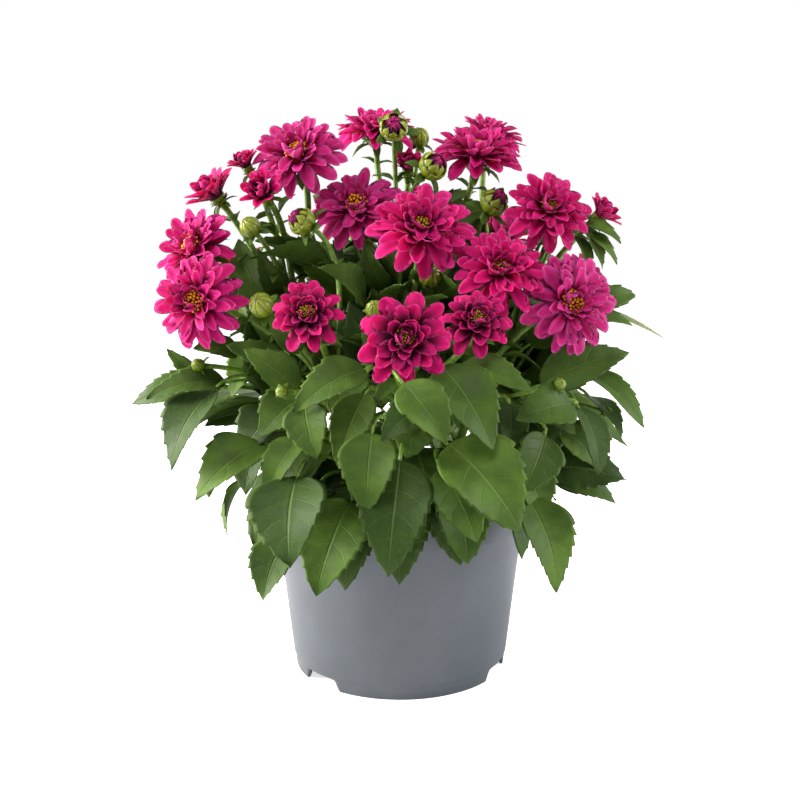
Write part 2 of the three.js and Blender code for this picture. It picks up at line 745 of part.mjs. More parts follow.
// The leaf stalk leaves the main stem a little below the height of the blade's foot.
function leafStalkCurve(leaf, { foot, along }) {
  const stem = mainStem(SHOOTS[leaf.shoot]);
  const low = stem.getPointAt(LEAF_FORK_LOW);
  const high = stem.getPointAt(LEAF_FORK_HIGH);
  const share = (leaf.foot[2] - LEAF_STALK_DROP - low.z) / (high.z - low.z);
  const fork = THREE.MathUtils.lerp(LEAF_FORK_LOW, LEAF_FORK_HIGH, THREE.MathUtils.clamp(share, 0, 1));
  const start = stem.getPointAt(fork);
  const reach = start.distanceTo(foot);
  const away = foot.clone().sub(start).normalize().add(UP).multiplyScalar(0.2 * reach);
  return new THREE.CubicBezierCurve3(
    start,
    start.clone().add(away),
    foot.clone().addScaledVector(along, -0.35 * reach),
    foot,
  );
}

// One skin: a four-sided stalk whose last ring opens into the blade's left edge, top rib, right edge
// and bottom rib.
function makeLeaf(leaf) {
  const blade = leafFrame(leaf);
  const { foot, along, side, normal, length } = blade;
  const skin = new Skin();
  const curve = leafStalkCurve(leaf, blade);
  const large = leaf.width > LARGE_LEAF;
  const stalkSteps = large ? 2 : 1;
  let ring = null;
  for (let i = 0; i <= stalkSteps; i += 1) {
    const share = i / stalkSteps;
    const z = curve.getTangentAt(share);
    const x = side.clone().addScaledVector(z, -side.dot(z)).normalize();
    const frame = { origin: curve.getPointAt(share), x, y: new THREE.Vector3().crossVectors(z, x), z };
    const next = skin.ring(frame, 4, LEAF_STALK_RADIUS * (1.1 - 0.4 * share));
    if (ring) {
      skin.band(ring, next);
    } else {
      skin.capFoot(next);
    }
    ring = next;
  }
  const place = (share, across, lift) => {
    const point = foot.clone().addScaledVector(along, share * length);
    const arch = 4 * LEAF_ARCH * length * share * (1 - share);
    const fold = (4 * LEAF_FOLD * across * across) / leaf.width;
    point.addScaledVector(normal, arch + fold + lift);
    point.addScaledVector(side, across);
    return { share, id: skin.points.push(point) - 1 };
  };
  const teeth = large ? 3 : 2;
  const ribShares = large ? [0.22, 0.5, 0.78] : [0.3, 0.68];
  const [left, over, right, under] = ring.ids.map((id) => ({ share: 0, id }));
  const end = place(1, 0, 0);
  const edges = [[left, 1], [right, -1]].map(([start, sign]) => {
    const edge = [start];
    for (let k = 0; k < teeth; k += 1) {
      const tooth = 0.24 + (0.56 * k) / (teeth - 1);
      const notch = tooth + 0.09;
      edge.push(place(tooth, sign * leaf.width * leafOutline(tooth), 0));
      edge.push(place(notch, sign * leaf.width * leafOutline(notch) * (1 - TOOTH_DEPTH), 0));
    }
    edge.push(end);
    return edge;
  });
  [[over, 1], [under, -1]].forEach(([start, face]) => {
    const rib = [start, ...ribShares.map((share) => place(share, 0, (face * LEAF_THICKNESS) / 2)), end];
    const faces = [];
    zip(rib, edges[0], true, faces);
    zip(rib, edges[1], false, faces);
    skin.faces.push(...(face > 0 ? faces : faces.map((corners) => [...corners].reverse())));
  });
  return skin.solid();
}

function nearestShoot(x, y) {
  const distance = (name) => Math.hypot(SHOOTS[name].top[0] - x, SHOOTS[name].top[1] - y);
  return Object.keys(SHOOTS).reduce((best, name) => (distance(name) < distance(best) ? name : best));
}

function backLeaves() {
  const leaves = [];
  BACK_TIERS.forEach((tier, row) => {
    for (let i = 0; i < tier.count; i += 1) {
      const azimuth = rad(tier.from + ((tier.to - tier.from) * i) / (tier.count - 1));
      const out = [Math.sin(azimuth), -Math.cos(azimuth)];
      const across = [-out[1], out[0]];
      const scale = BACK_LENGTHS[(i + row) % BACK_LENGTHS.length];
      const sidestep = BACK_SIDESTEP * (i % 2 === 0 ? 1 : -1);
      const reach = tier.foot[0] + (tier.tip[0] - tier.foot[0]) * scale;
      const foot = [out[0] * tier.foot[0], out[1] * tier.foot[0], tier.foot[1]];
      const tip = [out[0] * reach + across[0] * sidestep, out[1] * reach + across[1] * sidestep, tier.tip[1]];
      leaves.push({
        shoot: nearestShoot(foot[0], foot[1]),
        foot,
        tip,
        width: tier.width * scale,
        face: [out[0] * 0.7, out[1] * 0.7, 0.7],
      });
    }
  });
  return leaves;
}

// Bending clear: a leaf turns about the foot of its stalk, a little at a time, until it touches nothing
// that belongs to another node.
function turnedLeaf(leaf, yaw, pitch) {
  const stem = mainStem(SHOOTS[leaf.shoot]);
  const pivot = stem.getPointAt(0.65);
  const foot = new THREE.Vector3(...leaf.foot).sub(pivot);
  const level = new THREE.Vector3(-foot.y, foot.x, 0).normalize();
  const turn = (vector) => vector.applyAxisAngle(UP, rad(yaw)).applyAxisAngle(level, rad(pitch));
  return {
    ...leaf,
    foot: turn(foot.clone()).add(pivot).toArray(),
    tip: turn(new THREE.Vector3(...leaf.tip).sub(pivot)).add(pivot).toArray(),
    face: turn(new THREE.Vector3(...leaf.face)).toArray(),
  };
}

const SHRINKS = [1, 0.85, 0.7];
const BENDS = [];
for (const yaw of [0, 4, -4, 8, -8, 12, -12, 16, -16]) {
  for (const pitch of [0, -4, 4, -8, 8]) {
    BENDS.push({ yaw, pitch, size: Math.hypot(yaw, pitch) });
  }
}
BENDS.sort((a, b) => a.size - b.size);

function boxesMeet(a, b, margin) {
  return [0, 1, 2].every((k) => a.min[k] - margin < b.max[k] && b.min[k] - margin < a.max[k]);
}

function isClear(solid, others) {
  const box = solid.boundingBox();
  return others.every((other) => {
    if (!boxesMeet(box, other.box, SEAT_GAP)) {
      return true;
    }
    return solid.minGap(other.solid, 1) >= SEAT_GAP;
  });
}

// Of the bends that are clear of the other nodes, the one that costs least: a bend costs by its angle,
// and by how much of its own shoot the leaf then crosses. A leaf that finds no room is made smaller.
function bendClear(leaf, shoot, others) {
  for (const scale of SHRINKS) {
    let best = null;
    for (const { yaw, pitch, size } of BENDS) {
      const least = BEND_COST * size;
      if (best && least >= best.cost) {
        break;
      }
      const bent = turnedLeaf(leaf, yaw, pitch);
      bent.width *= scale;
      const foot = new THREE.Vector3(...bent.foot);
      bent.tip = foot.lerp(new THREE.Vector3(...bent.tip), scale).toArray();
      const solid = makeLeaf(bent);
      if (isClear(solid, others)) {
        const cost = least + solid.intersect(shoot).volume();
        if (!best || cost < best.cost) {
          best = { solid, cost };
        }
      }
    }
    if (best) {
      return best.solid;
    }
  }
  return null;
}

// Assembly
const placed = [];

function place(name, solid, material) {
  placed.push({ name, solid, material, box: solid.boundingBox() });
}

place("pot", makePot(), MATERIALS.pot);
place("soil", makeSoil(), MATERIALS.soil);
BLOOMS.forEach((flower, index) => {
  const petalMaterial = flower.disc ? MATERIALS.petal : MATERIALS.petalDark;
  place(`petals_${flower.name}`, makePetals(flower, index), petalMaterial);
  if (flower.disc) {
    const material = flower.disc === "orange" ? MATERIALS.discOrange : MATERIALS.discYellow;
    place(`disc_${flower.name}`, makeDisc(flower), material);
  }
});
BUDS.filter((bud) => bud.coloured).forEach((bud, index) => {
  place(`petals_${bud.name}`, makePetals(budFlower(bud), index), MATERIALS.petalDark);
});

const shoots = Object.entries(SHOOTS).map(([name, shoot]) => {
  const flowers = BLOOMS.filter((flower) => flower.shoot === name).map(makeFlowerStalk);
  const buds = BUDS.filter((bud) => bud.shoot === name).map(makeBudStalk);
  const solid = fuse([makeStem(shoot), ...flowers, ...buds]);
  const entry = { name: `shoot_${name}`, solid, material: MATERIALS.shoot, box: solid.boundingBox() };
  return { name, entry };
});

for (const leaf of [...FRONT_LEAVES, ...backLeaves()]) {
  const shoot = shoots.find(({ name }) => name === leaf.shoot);
  const others = [...placed, ...shoots.filter((other) => other !== shoot).map(({ entry }) => entry)];
  const solid = bendClear(leaf, shoot.entry.solid, others);
  if (solid) {
    shoot.entry.solid = shoot.entry.solid.add(solid);
    shoot.entry.box = shoot.entry.solid.boundingBox();
  }
}

const plant = new THREE.Group();
plant.name = "potted_dahlia";
placed.forEach(({ name, solid, material }) => plant.add(meshFromSolid(solid, name, material)));
shoots.forEach(({ entry }) => plant.add(meshFromSolid(fuse([entry.solid]), entry.name, entry.material)));

export default plant;
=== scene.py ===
# %% [markdown]
# # A potted dahlia
# This lesson dresses a potted dahlia: a plastic nursery pot, the soil in it, eight leafy shoots that
# stand in the soil, and the blooms and buds that the shoots carry. The construction model gives every
# piece its place and its size. Here each plain solid of it is replaced by a fine surface that is worked
# out with numpy, as whole arrays of points, and then gets a painted material made of shader nodes.

# %% Load the frame
import math

import bmesh
import bpy
import numpy as np
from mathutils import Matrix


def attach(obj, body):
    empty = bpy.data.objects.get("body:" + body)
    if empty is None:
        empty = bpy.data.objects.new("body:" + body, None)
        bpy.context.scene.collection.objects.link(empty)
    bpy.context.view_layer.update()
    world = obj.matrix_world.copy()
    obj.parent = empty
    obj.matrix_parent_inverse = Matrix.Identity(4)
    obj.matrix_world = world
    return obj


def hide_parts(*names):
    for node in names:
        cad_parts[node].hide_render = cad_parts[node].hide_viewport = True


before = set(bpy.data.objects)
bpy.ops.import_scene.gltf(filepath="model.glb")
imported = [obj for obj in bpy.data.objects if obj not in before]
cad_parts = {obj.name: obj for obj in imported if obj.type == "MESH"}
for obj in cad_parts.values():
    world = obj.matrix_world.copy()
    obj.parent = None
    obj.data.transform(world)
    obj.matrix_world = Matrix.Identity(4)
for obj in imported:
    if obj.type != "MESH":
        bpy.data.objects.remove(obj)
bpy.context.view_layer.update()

MM = 0.001
UP = np.array([0.0, 0.0, 1.0])

# %% [markdown]
# ## Camera, floor and light
# A studio picture needs three things besides its object. The camera stands 55 cm in front of the plant
# and a little above its middle, and looks down on it by 10 degrees. The floor is a pale sheet that runs
# far out, so that its edge is lost in the white background. The light comes from a bright room and four
# large soft lamps, because small lamps would draw hard shadows between the petals. The one on the left
# is the strongest, and it gives the pot its bright left side. The room and the floor are white for rays
# that come from the camera, and light the plant with less, so that the leaves keep their depth.

# %% Camera
CAMERA_PLACE = (0.0, -0.550, 0.231)
CAMERA_TILT = 80.25
CAMERA_LENS = 49.64

camera_data = bpy.data.cameras.new("camera")
camera_data.lens = CAMERA_LENS
camera = bpy.data.objects.new("camera", camera_data)
camera.location = CAMERA_PLACE
camera.rotation_euler = (math.radians(CAMERA_TILT), 0, 0)
bpy.context.scene.collection.objects.link(camera)
bpy.context.scene.camera = camera
bpy.context.scene.view_settings.view_transform = "Standard"
print("camera at", CAMERA_PLACE, "looking down by", 90 - CAMERA_TILT, "degrees")


# %% Lamps and room
def soft_lamp(name, place, power, size, colour):
    """A square lamp of the given power in watts, turned to face the plant."""
    lamp = bpy.data.objects.new(name, bpy.data.lights.new(name, "AREA"))
    lamp.data.energy = power
    lamp.data.color = colour
    lamp.data.size = size
    lamp.location = place
    target = np.array(PLANT_MIDDLE) - np.array(place)
    flat = math.hypot(target[0], target[1])
    lamp.rotation_euler = (math.atan2(flat, -target[2]), 0, math.atan2(-target[0], target[1]))
    bpy.context.scene.collection.objects.link(lamp)


ROOM_LIGHT = 0.32
PLANT_MIDDLE = (0.0, 0.0, 0.15)
WHITE, WARM = (1.0, 1.0, 1.0), (1.0, 0.965, 0.91)
LAMPS = {
    "left": ((-1.1, 0.05, 0.5), 39, 0.7, WARM),
    "right": ((1.15, -0.1, 0.5), 15, 0.6, WHITE),
    "top": ((-0.25, -0.6, 1.15), 7, 0.5, WHITE),
    "back": ((0.3, 1.1, 0.7), 6, 0.8, WHITE),
}
for name, (place, power, size, colour) in LAMPS.items():
    soft_lamp(f"lamp_{name}", place, power, size, colour)

room = bpy.data.worlds.new("room")
room.use_nodes = True
background = room.node_tree.nodes["Background"]
background.inputs["Color"].default_value = (*WHITE, 1)
ray = room.node_tree.nodes.new("ShaderNodeLightPath")
strength = room.node_tree.nodes.new("ShaderNodeMapRange")
strength.inputs["To Min"].default_value = ROOM_LIGHT
strength.inputs["To Max"].default_value = 1.0
room.node_tree.links.new(ray.outputs["Is Camera Ray"], strength.inputs["Value"])
room.node_tree.links.new(strength.outputs["Result"], background.inputs["Strength"])
bpy.context.scene.world = room
print(len(LAMPS), "lamps and a white room that lights at", ROOM_LIGHT)

# %% [markdown]
# ## Working with grids
# Nearly everything on a plant is a closed skin stretched over rings: a stem is a row of round rings, and
# a petal or a leaf is a row of very flat ones, whose points run over the upper face from edge to edge and
# back along the lower face. So one grid of points, ring by ring, describes them all, and one function
# joins neighbouring rings by quads. The points could be placed one by one in a loop, but a formula on
# whole arrays is shorter and hundreds of times faster. Each grid also carries a few painted values per
# point, such as how far along the petal it lies, and the materials read them.

# %% Grids, shells and pieces
PAINTS = ("along", "across", "tint", "age", "inner", "under")
WELD = 1e-7


def unit(vectors):
    """Vectors scaled to length one."""
    return vectors / np.linalg.norm(vectors, axis=-1, keepdims=True)


def grid_quads(rings, around):
    """Corner numbers of the quads between neighbouring rings; the last point of a ring meets its first."""
    ring, place = np.meshgrid(np.arange(rings - 1), np.arange(around), indexing="ij")
    here = ring * around + place
    beside = ring * around + (place + 1) % around
    return np.stack([here, beside, beside + around, here + around], axis=-1).reshape(-1, 4)


class Shells:
    """Closed shells gathered for one piece: points, quads, finish numbers and painted values."""

    def __init__(self):
        self.points, self.quads, self.finishes, self.paints = [], [], [], []
        self.count = 0

    def add(self, points, finish=0, **paint):
        """Adds shells whose points have the shape (..., rings, around, 3), with paint spread over them."""
        rings, around = points.shape[-3:-1]
        shells = points.reshape(-1, rings * around, 3)
        quads = grid_quads(rings, around)
        starts = self.count + np.arange(len(shells)) * rings * around
        self.points.append(shells.reshape(-1, 3))
        self.quads.append((starts[:, None, None] + quads).reshape(-1, 4))
        self.finishes.append(np.full(len(shells) * len(quads), finish))
        values = [np.broadcast_to(paint.get(name, 0.0), points.shape[:-1]).ravel() for name in PAINTS]
        self.paints.append(np.stack(values, axis=-1))
        self.count += len(shells) * rings * around


def make_piece(name, shells, materials, slot, *replaced):
    """Puts gathered shells, given in millimetres, into one mesh in metres, joins points that coincide,
    turns each closed shell's faces outwards, and lets the piece stand for the solids it replaces."""
    points, quads = np.concatenate(shells.points) * MM, np.concatenate(shells.quads)
    mesh = bpy.data.meshes.new(name)
    mesh.vertices.add(len(points))
    mesh.vertices.foreach_set("co", points.ravel())
    mesh.loops.add(quads.size)
    mesh.loops.foreach_set("vertex_index", quads.ravel())
    mesh.polygons.add(len(quads))
    mesh.polygons.foreach_set("loop_start", np.arange(0, quads.size, 4))
    mesh.polygons.foreach_set("material_index", np.concatenate(shells.finishes))
    mesh.update(calc_edges=True)
    for paint, values in zip(PAINTS, np.concatenate(shells.paints).T):
        mesh.attributes.new(paint, "FLOAT", "POINT").data.foreach_set("value", np.ascontiguousarray(values))
    work = bmesh.new()
    work.from_mesh(mesh)
    bmesh.ops.remove_doubles(work, verts=work.verts, dist=WELD)
    bmesh.ops.recalc_face_normals(work, faces=work.faces)
    work.to_mesh(mesh)
    work.free()
    mesh.shade_smooth()
    for material in materials:
        mesh.materials.append(material)
    piece = bpy.data.objects.new(name, mesh)
    bpy.context.scene.collection.objects.link(piece)
    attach(piece, "root")
    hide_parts(*replaced)
    print(f"{name}: {len(mesh.polygons)} faces")
    return piece


# %% [markdown]
# ## Mixing materials
# A material is a small recipe: values painted on the mesh and noise go in, arithmetic and colour mixes
# change them, and the result feeds the sockets of one Principled shader. Colours are written as they
# look on a screen, from 0 to 255, and are turned into the linear numbers that the shader works with.

# %% Recipe helpers
def screen(red, green, blue):
    """A screen colour as linear light: each channel is raised by the sRGB curve, close to power 2.4."""
    share = np.array([red, green, blue]) / 255
    linear = np.where(share <= 0.04045, share / 12.92, ((share + 0.055) / 1.055) ** 2.4)
    return (*linear.tolist(), 1.0)


class Recipe:
    """A material under construction: each step adds a node and returns its output."""

    def __init__(self, name, **fixed):
        self.material = bpy.data.materials.new(name)
        self.material.use_nodes = True
        self.nodes = self.material.node_tree.nodes
        self.shader = self.nodes["Principled BSDF"]
        for socket, value in fixed.items():
            self.shader.inputs[socket.replace("_", " ")].default_value = value

    def feed(self, socket, value):
        """Links a node's output to a socket, or sets the socket to a plain value."""
        if isinstance(value, bpy.types.NodeSocket):
            self.material.node_tree.links.new(value, socket)
        else:
            socket.default_value = value

    def paint(self, name):
        """A value painted on the mesh."""
        node = self.nodes.new("ShaderNodeAttribute")
        node.attribute_name = name
        return node.outputs["Fac"]

    def place(self):
        """Where the point is on the object, in metres."""
        return self.nodes.new("ShaderNodeTexCoord").outputs["Object"]

    def sum(self, operation, *values):
        """One step of arithmetic."""
        node = self.nodes.new("ShaderNodeMath")
        node.operation = operation
        for socket, value in zip(node.inputs, values):
            self.feed(socket, value)
        return node.outputs[0]

    def vector(self, x, y, z):
        """Three values as one point, for a noise to read."""
        node = self.nodes.new("ShaderNodeCombineXYZ")
        for socket, value in zip(node.inputs, (x, y, z)):
            self.feed(socket, value)
        return node.outputs[0]

    def noise(self, where, scale, detail=3.0):
        """Cloudy values round one half; scale is the number of clouds in one unit of the point given."""
        node = self.nodes.new("ShaderNodeTexNoise")
        self.feed(node.inputs["Vector"], where)
        node.inputs["Scale"].default_value = scale
        node.inputs["Detail"].default_value = detail
        return node.outputs["Fac"]

    def ease(self, value, start, end, low=0.0, high=1.0):
        """Goes smoothly from low to high while the value goes from start to end, and stays level outside."""
        node = self.nodes.new("ShaderNodeMapRange")
        node.interpolation_type = "SMOOTHSTEP"
        for socket, given in zip(node.inputs, (value, start, end, low, high)):
            self.feed(socket, given)
        return node.outputs[0]

    def mix(self, share, first, second):
        """A colour between the first, at share 0, and the second, at share 1."""
        node = self.nodes.new("ShaderNodeMix")
        node.data_type = "RGBA"
        self.feed(node.inputs["Factor"], share)
        self.feed(node.inputs[6], first)
        self.feed(node.inputs[7], second)
        return node.outputs[2]

    def bump(self, height, depth):
        """Makes the surface look raised by the height, times the depth in metres."""
        node = self.nodes.new("ShaderNodeBump")
        node.inputs["Distance"].default_value = depth
        self.feed(node.inputs["Height"], height)
        self.feed(self.shader.inputs["Normal"], node.outputs[0])

    def finish(self, colour, roughness):
        """Feeds the colour and the roughness, and hands over the material."""
        self.feed(self.shader.inputs["Base Color"], colour)
        self.feed(self.shader.inputs["Roughness"], roughness)
        print("material", self.material.name)
        return self.material


# %% Floor
FLOOR_REACH = 30.0
FLOOR_GLOW = 0.7
floor_mesh = bpy.data.meshes.new("floor")
corners = [(-FLOOR_REACH, -FLOOR_REACH, 0), (FLOOR_REACH, -FLOOR_REACH, 0)]
corners += [(FLOOR_REACH, FLOOR_REACH, 0), (-FLOOR_REACH, FLOOR_REACH, 0)]
floor_mesh.from_pydata(corners, [], [(0, 1, 2, 3)])
recipe = Recipe("floor_paper", Specular_IOR_Level=0.0, Emission_Color=(*WHITE, 1))
tone = recipe.noise(recipe.place(), 3.0)
seen = recipe.nodes.new("ShaderNodeLightPath").outputs["Is Camera Ray"]
recipe.feed(recipe.shader.inputs["Emission Strength"], recipe.sum("MULTIPLY", seen, FLOOR_GLOW))
paper = recipe.mix(tone, (0.93, 0.93, 0.93, 1), (0.95, 0.95, 0.95, 1))
floor_mesh.materials.append(recipe.finish(paper, 1.0))
floor = bpy.data.objects.new("floor", floor_mesh)
bpy.context.scene.collection.objects.link(floor)
print("floor of", 2 * FLOOR_REACH, "m a side")

# %% [markdown]
# ## The pot
# The pot is a thin plastic nursery pot, turned round one axis: a recessed floor on a short foot, a wall
# that widens upwards, and a rim band that stands out. Its foot has three low notches that let water run
# away, and its floor has five holes. A lathe would make the round part, but not the notches. So the
# profile is carried round as a grid, and where a notch is, the foot's lower edge is simply lifted. The
# floor is five sectors, each a grid between the round hole and the sector's outline.

# %% Pot sizes
FOOT_RADIUS, STEP_HEIGHT, WALL_TOP_RADIUS, WALL_TOP_HEIGHT = 54.0, 7.0, 63.0, 75.6
RIM_RADIUS, POT_HEIGHT, WALL = 65.0, 90.0, 1.4
FLOOR_UNDER, FLOOR_HEIGHT, FLOOR_EDGE = 7.8, 9.2, 52.6
FOOT_TOP, FOOT_INNER = 6.4, 52.0
NOTCH_AZIMUTHS = np.array([-46, 65, 190])
NOTCH_REACH, NOTCH_LIFT = [8, 9.6, 11, 12.5], [6, 5, 2.2, 0]
DRAIN_RADIUS, DRAIN_CIRCLE, DRAIN_COUNT = 4.0, 34.0, 5
POT_STEPS, FLOOR_SPOKE_STEPS = 480, 12
EDGE_ROUNDING = 0.5
FLOOR_SHARES = (1, 0.6, 0.3, 0.08, 0)


def wall_radius(height):
    """The outer radius of the wall, which widens evenly from the foot's step to the rim band."""
    share = (height - STEP_HEIGHT) / (WALL_TOP_HEIGHT - STEP_HEIGHT)
    return FOOT_RADIUS + 1.2 + share * (WALL_TOP_RADIUS - FOOT_RADIUS - 1.2)


def rounded(profile, size, steps=4):
    """A profile whose inner corners are eased: each becomes a short curve between two points that lie
    the given distance from it on both sides, with one more point outside each to keep the sides flat."""
    points = [profile[0]]
    for before, corner, after in zip(profile, profile[1:], profile[2:]):
        sides = [before - corner, after - corner]
        cuts = [unit(side) * min(size, 0.3 * np.linalg.norm(side)) for side in sides]
        t = np.linspace(0, 1, steps + 1)[:, None]
        curve = corner + (1 - t) ** 2 * cuts[0] + t**2 * cuts[1]
        points += [corner + 1.5 * cuts[0], *curve, corner + 1.5 * cuts[1]]
    return np.array([*points, profile[-1]])


# %% Pot shape
inner_floor = wall_radius(FLOOR_HEIGHT) - WALL
POT_PROFILE = np.array([
    (FLOOR_EDGE, FLOOR_UNDER), (FOOT_RADIUS - 1.6, 0), (FOOT_RADIUS, 0), (FOOT_RADIUS + 0.8, 6.6),
    (FOOT_RADIUS + 1.2, STEP_HEIGHT), (WALL_TOP_RADIUS, WALL_TOP_HEIGHT), (RIM_RADIUS - 0.4, 76.2),
    (RIM_RADIUS, 88.6), (RIM_RADIUS - 0.8, POT_HEIGHT), (RIM_RADIUS - 2, POT_HEIGHT),
    (WALL_TOP_RADIUS - 0.2, 77.6), (WALL_TOP_RADIUS - 1.4, 74.6), (inner_floor, FLOOR_HEIGHT),
])
profile = rounded(POT_PROFILE, EDGE_ROUNDING)
turn = np.linspace(0, 2 * np.pi, POT_STEPS, endpoint=False)
azimuths = np.radians(NOTCH_AZIMUTHS - 90)
apart = np.abs((turn[:, None] - azimuths + np.pi) % (2 * np.pi) - np.pi).min(axis=1) * FOOT_RADIUS
lift = np.interp(apart, NOTCH_REACH, NOTCH_LIFT)
radii = np.broadcast_to(profile[:, :1], (len(profile), POT_STEPS))
foot = (profile[:, 1:] < FOOT_TOP) & (radii > FOOT_INNER)
heights = np.where(foot, np.maximum(profile[:, 1:], lift), profile[:, 1:])
wall = np.stack([radii * np.cos(turn), radii * np.sin(turn), heights], axis=-1)

sector = POT_STEPS // DRAIN_COUNT
starts = np.arange(DRAIN_COUNT)[:, None] * sector
rim_turns = 2 * np.pi * (starts + np.arange(sector + 1)) / POT_STEPS
spokes = np.linspace(0, 1, FLOOR_SPOKE_STEPS, endpoint=False)


def sector_outline(radius):
    """Round a sector of the floor: out along its first spoke, along the rim, and back to the middle."""
    rim = np.stack([np.cos(rim_turns), np.sin(rim_turns)], axis=-1)
    out = spokes[None, 1:, None] * rim[:, :1]
    back = spokes[None, :0:-1, None] * rim[:, -1:]
    middle = np.zeros((DRAIN_COUNT, 1, 2))
    return radius * np.concatenate([middle, out, rim, back], axis=1)


hole_turns = 2 * np.pi * (np.arange(DRAIN_COUNT) + 0.5) / DRAIN_COUNT
hole_middles = DRAIN_CIRCLE * np.stack([np.cos(hole_turns), np.sin(hole_turns)], axis=-1)[:, None]


def floor_ring(radius, height, share):
    """A ring of the floor, between the drain hole at share 0 and the sector's outline at share 1."""
    outline = sector_outline(radius)
    hole = hole_middles + DRAIN_RADIUS * unit(outline - hole_middles)
    flat = hole + share * (outline - hole)
    return np.concatenate([flat, np.full((*flat.shape[:-1], 1), height)], axis=-1)


rings = [floor_ring(inner_floor, FLOOR_HEIGHT, share) for share in FLOOR_SHARES]
rings += [floor_ring(FLOOR_EDGE, FLOOR_UNDER, share) for share in reversed(FLOOR_SHARES)]
pot_floor = np.stack(rings, axis=1)
print("pot:", wall.shape[:2], "points round the wall and", pot_floor.shape[:3], "in the floor")

# %% [markdown]
# The plastic is a satin grey with a trace of blue. Real pots like this are pressed in one go, so the
# surface is even, with only a faint mottling, a fine mould grain, and a few paler patches of dust.

# %% Pot finish
recipe = Recipe("pot_plastic", Specular_IOR_Level=0.6)
where = recipe.place()
mottle = recipe.noise(where, 55.0, 4.0)
grain = recipe.noise(where, 2600.0, 2.0)
plastic = recipe.mix(recipe.ease(mottle, 0.35, 0.65), screen(71, 77, 85), screen(76, 82, 91))
dust = recipe.ease(recipe.noise(where, 160.0, 6.0), 0.6, 0.85, 0.0, 0.22)
plastic = recipe.mix(dust, plastic, screen(110, 115, 121))
recipe.bump(recipe.sum("ADD", recipe.sum("MULTIPLY", grain, 0.3), mottle), 0.00012)
pot_plastic = recipe.finish(plastic, recipe.ease(mottle, 0.3, 0.7, 0.36, 0.44))

shells = Shells()
shells.add(wall)
shells.add(pot_floor)
make_piece("nursery_pot", shells, [pot_plastic], "pot_plastic", "pot")

# %% [markdown]
# ## The soil
# Potting soil is crumbly peat. Its body is a plain turned block that fills the pot, and only its top
# shows, through the leaves. The top is a grid that a sum of waves makes uneven, and crumbs are strewn
# over it on a sunflower spiral, which spreads any number of points evenly over a round bed. Simulated
# grains would look the same here and take far longer.

# %% Soil shape
SOIL_RADIUS, SOIL_EDGE, SOIL_CROWN, SOIL_FOOT = 61.0, 74.0, 79.0, 9.6
SOIL_STEPS, SOIL_RINGS = 96, 40
CRUMBS = 520
GOLDEN_TURN = math.pi * (3 - math.sqrt(5))
rng = np.random.default_rng(11)


def soil_height(x, y):
    """The crown of the soil falls with the square of the distance from its middle, plus three waves."""
    crown = SOIL_CROWN - (SOIL_CROWN - SOIL_EDGE) * (x**2 + y**2) / SOIL_RADIUS**2
    waves = np.sin(0.31 * x + 1) * np.sin(0.37 * y) + 0.6 * np.sin(0.83 * x + 0.7 * y)
    return crown + 0.5 * waves + 0.35 * np.sin(1.7 * x - 1.3 * y + 2)


soil_turn = np.linspace(0, 2 * np.pi, SOIL_STEPS, endpoint=False)
top_radii = np.linspace(SOIL_RADIUS - 0.4, 0, SOIL_RINGS)[:, None]
x, y = top_radii * np.cos(soil_turn), top_radii * np.sin(soil_turn)
soil_top = np.stack([x, y, soil_height(x, y)], axis=-1)
side_radii = np.array([0, wall_radius(SOIL_FOOT) - WALL - 0.6, WALL_TOP_RADIUS - WALL - 1.4])[:, None]
side_heights = np.array([SOIL_FOOT, SOIL_FOOT, SOIL_EDGE - 4])[:, None] * np.ones(SOIL_STEPS)
soil_side = np.stack([side_radii * np.cos(soil_turn), side_radii * np.sin(soil_turn), side_heights], axis=-1)

spiral = np.arange(CRUMBS)
crumb_radius = (SOIL_RADIUS - 4) * np.sqrt((spiral + 0.5) / CRUMBS)
crumb_x = crumb_radius * np.cos(spiral * GOLDEN_TURN)
crumb_y = crumb_radius * np.sin(spiral * GOLDEN_TURN)
crumb_size = rng.uniform(0.7, 2.1, CRUMBS)[:, None, None, None]
crumb_middle = np.stack([crumb_x, crumb_y, soil_height(crumb_x, crumb_y)], axis=-1)[:, None, None]
dip, spin = np.linspace(-np.pi / 2, np.pi / 2, 5)[:, None], np.linspace(0, 2 * np.pi, 6, endpoint=False)
ball = np.stack([np.cos(dip) * np.cos(spin), np.cos(dip) * np.sin(spin), np.sin(dip) + 0 * spin], axis=-1)
stretch = rng.uniform(0.55, 1.2, (CRUMBS, 1, 1, 3))
dents = np.sin(7 * ball + 9 * stretch) * np.cos(dip)[None, :, :, None]
crumbs = crumb_middle + crumb_size * stretch * ball + 0.18 * crumb_size * dents
print("soil:", soil_top.shape[:2], "points on top and", CRUMBS, "crumbs")

# %% Soil finish
recipe = Recipe("peat", Specular_IOR_Level=0.2)
where = recipe.place()
clods = recipe.noise(where, 260.0, 6.0)
fine = recipe.noise(where, 1500.0, 4.0)
peat = recipe.mix(recipe.ease(clods, 0.35, 0.65), screen(38, 27, 20), screen(74, 55, 40))
peat = recipe.mix(recipe.ease(recipe.paint("tint"), 0.7, 1.0, 0.0, 0.6), peat, screen(110, 88, 66))
recipe.bump(recipe.sum("ADD", clods, recipe.sum("MULTIPLY", fine, 0.4)), 0.0012)
peat_finish = recipe.finish(peat, 0.95)

shells = Shells()
shells.add(np.concatenate([soil_side, soil_top]))
shells.add(crumbs, tint=rng.random(CRUMBS)[:, None, None])
make_piece("potting_soil", shells, [peat_finish], "soil", "soil")

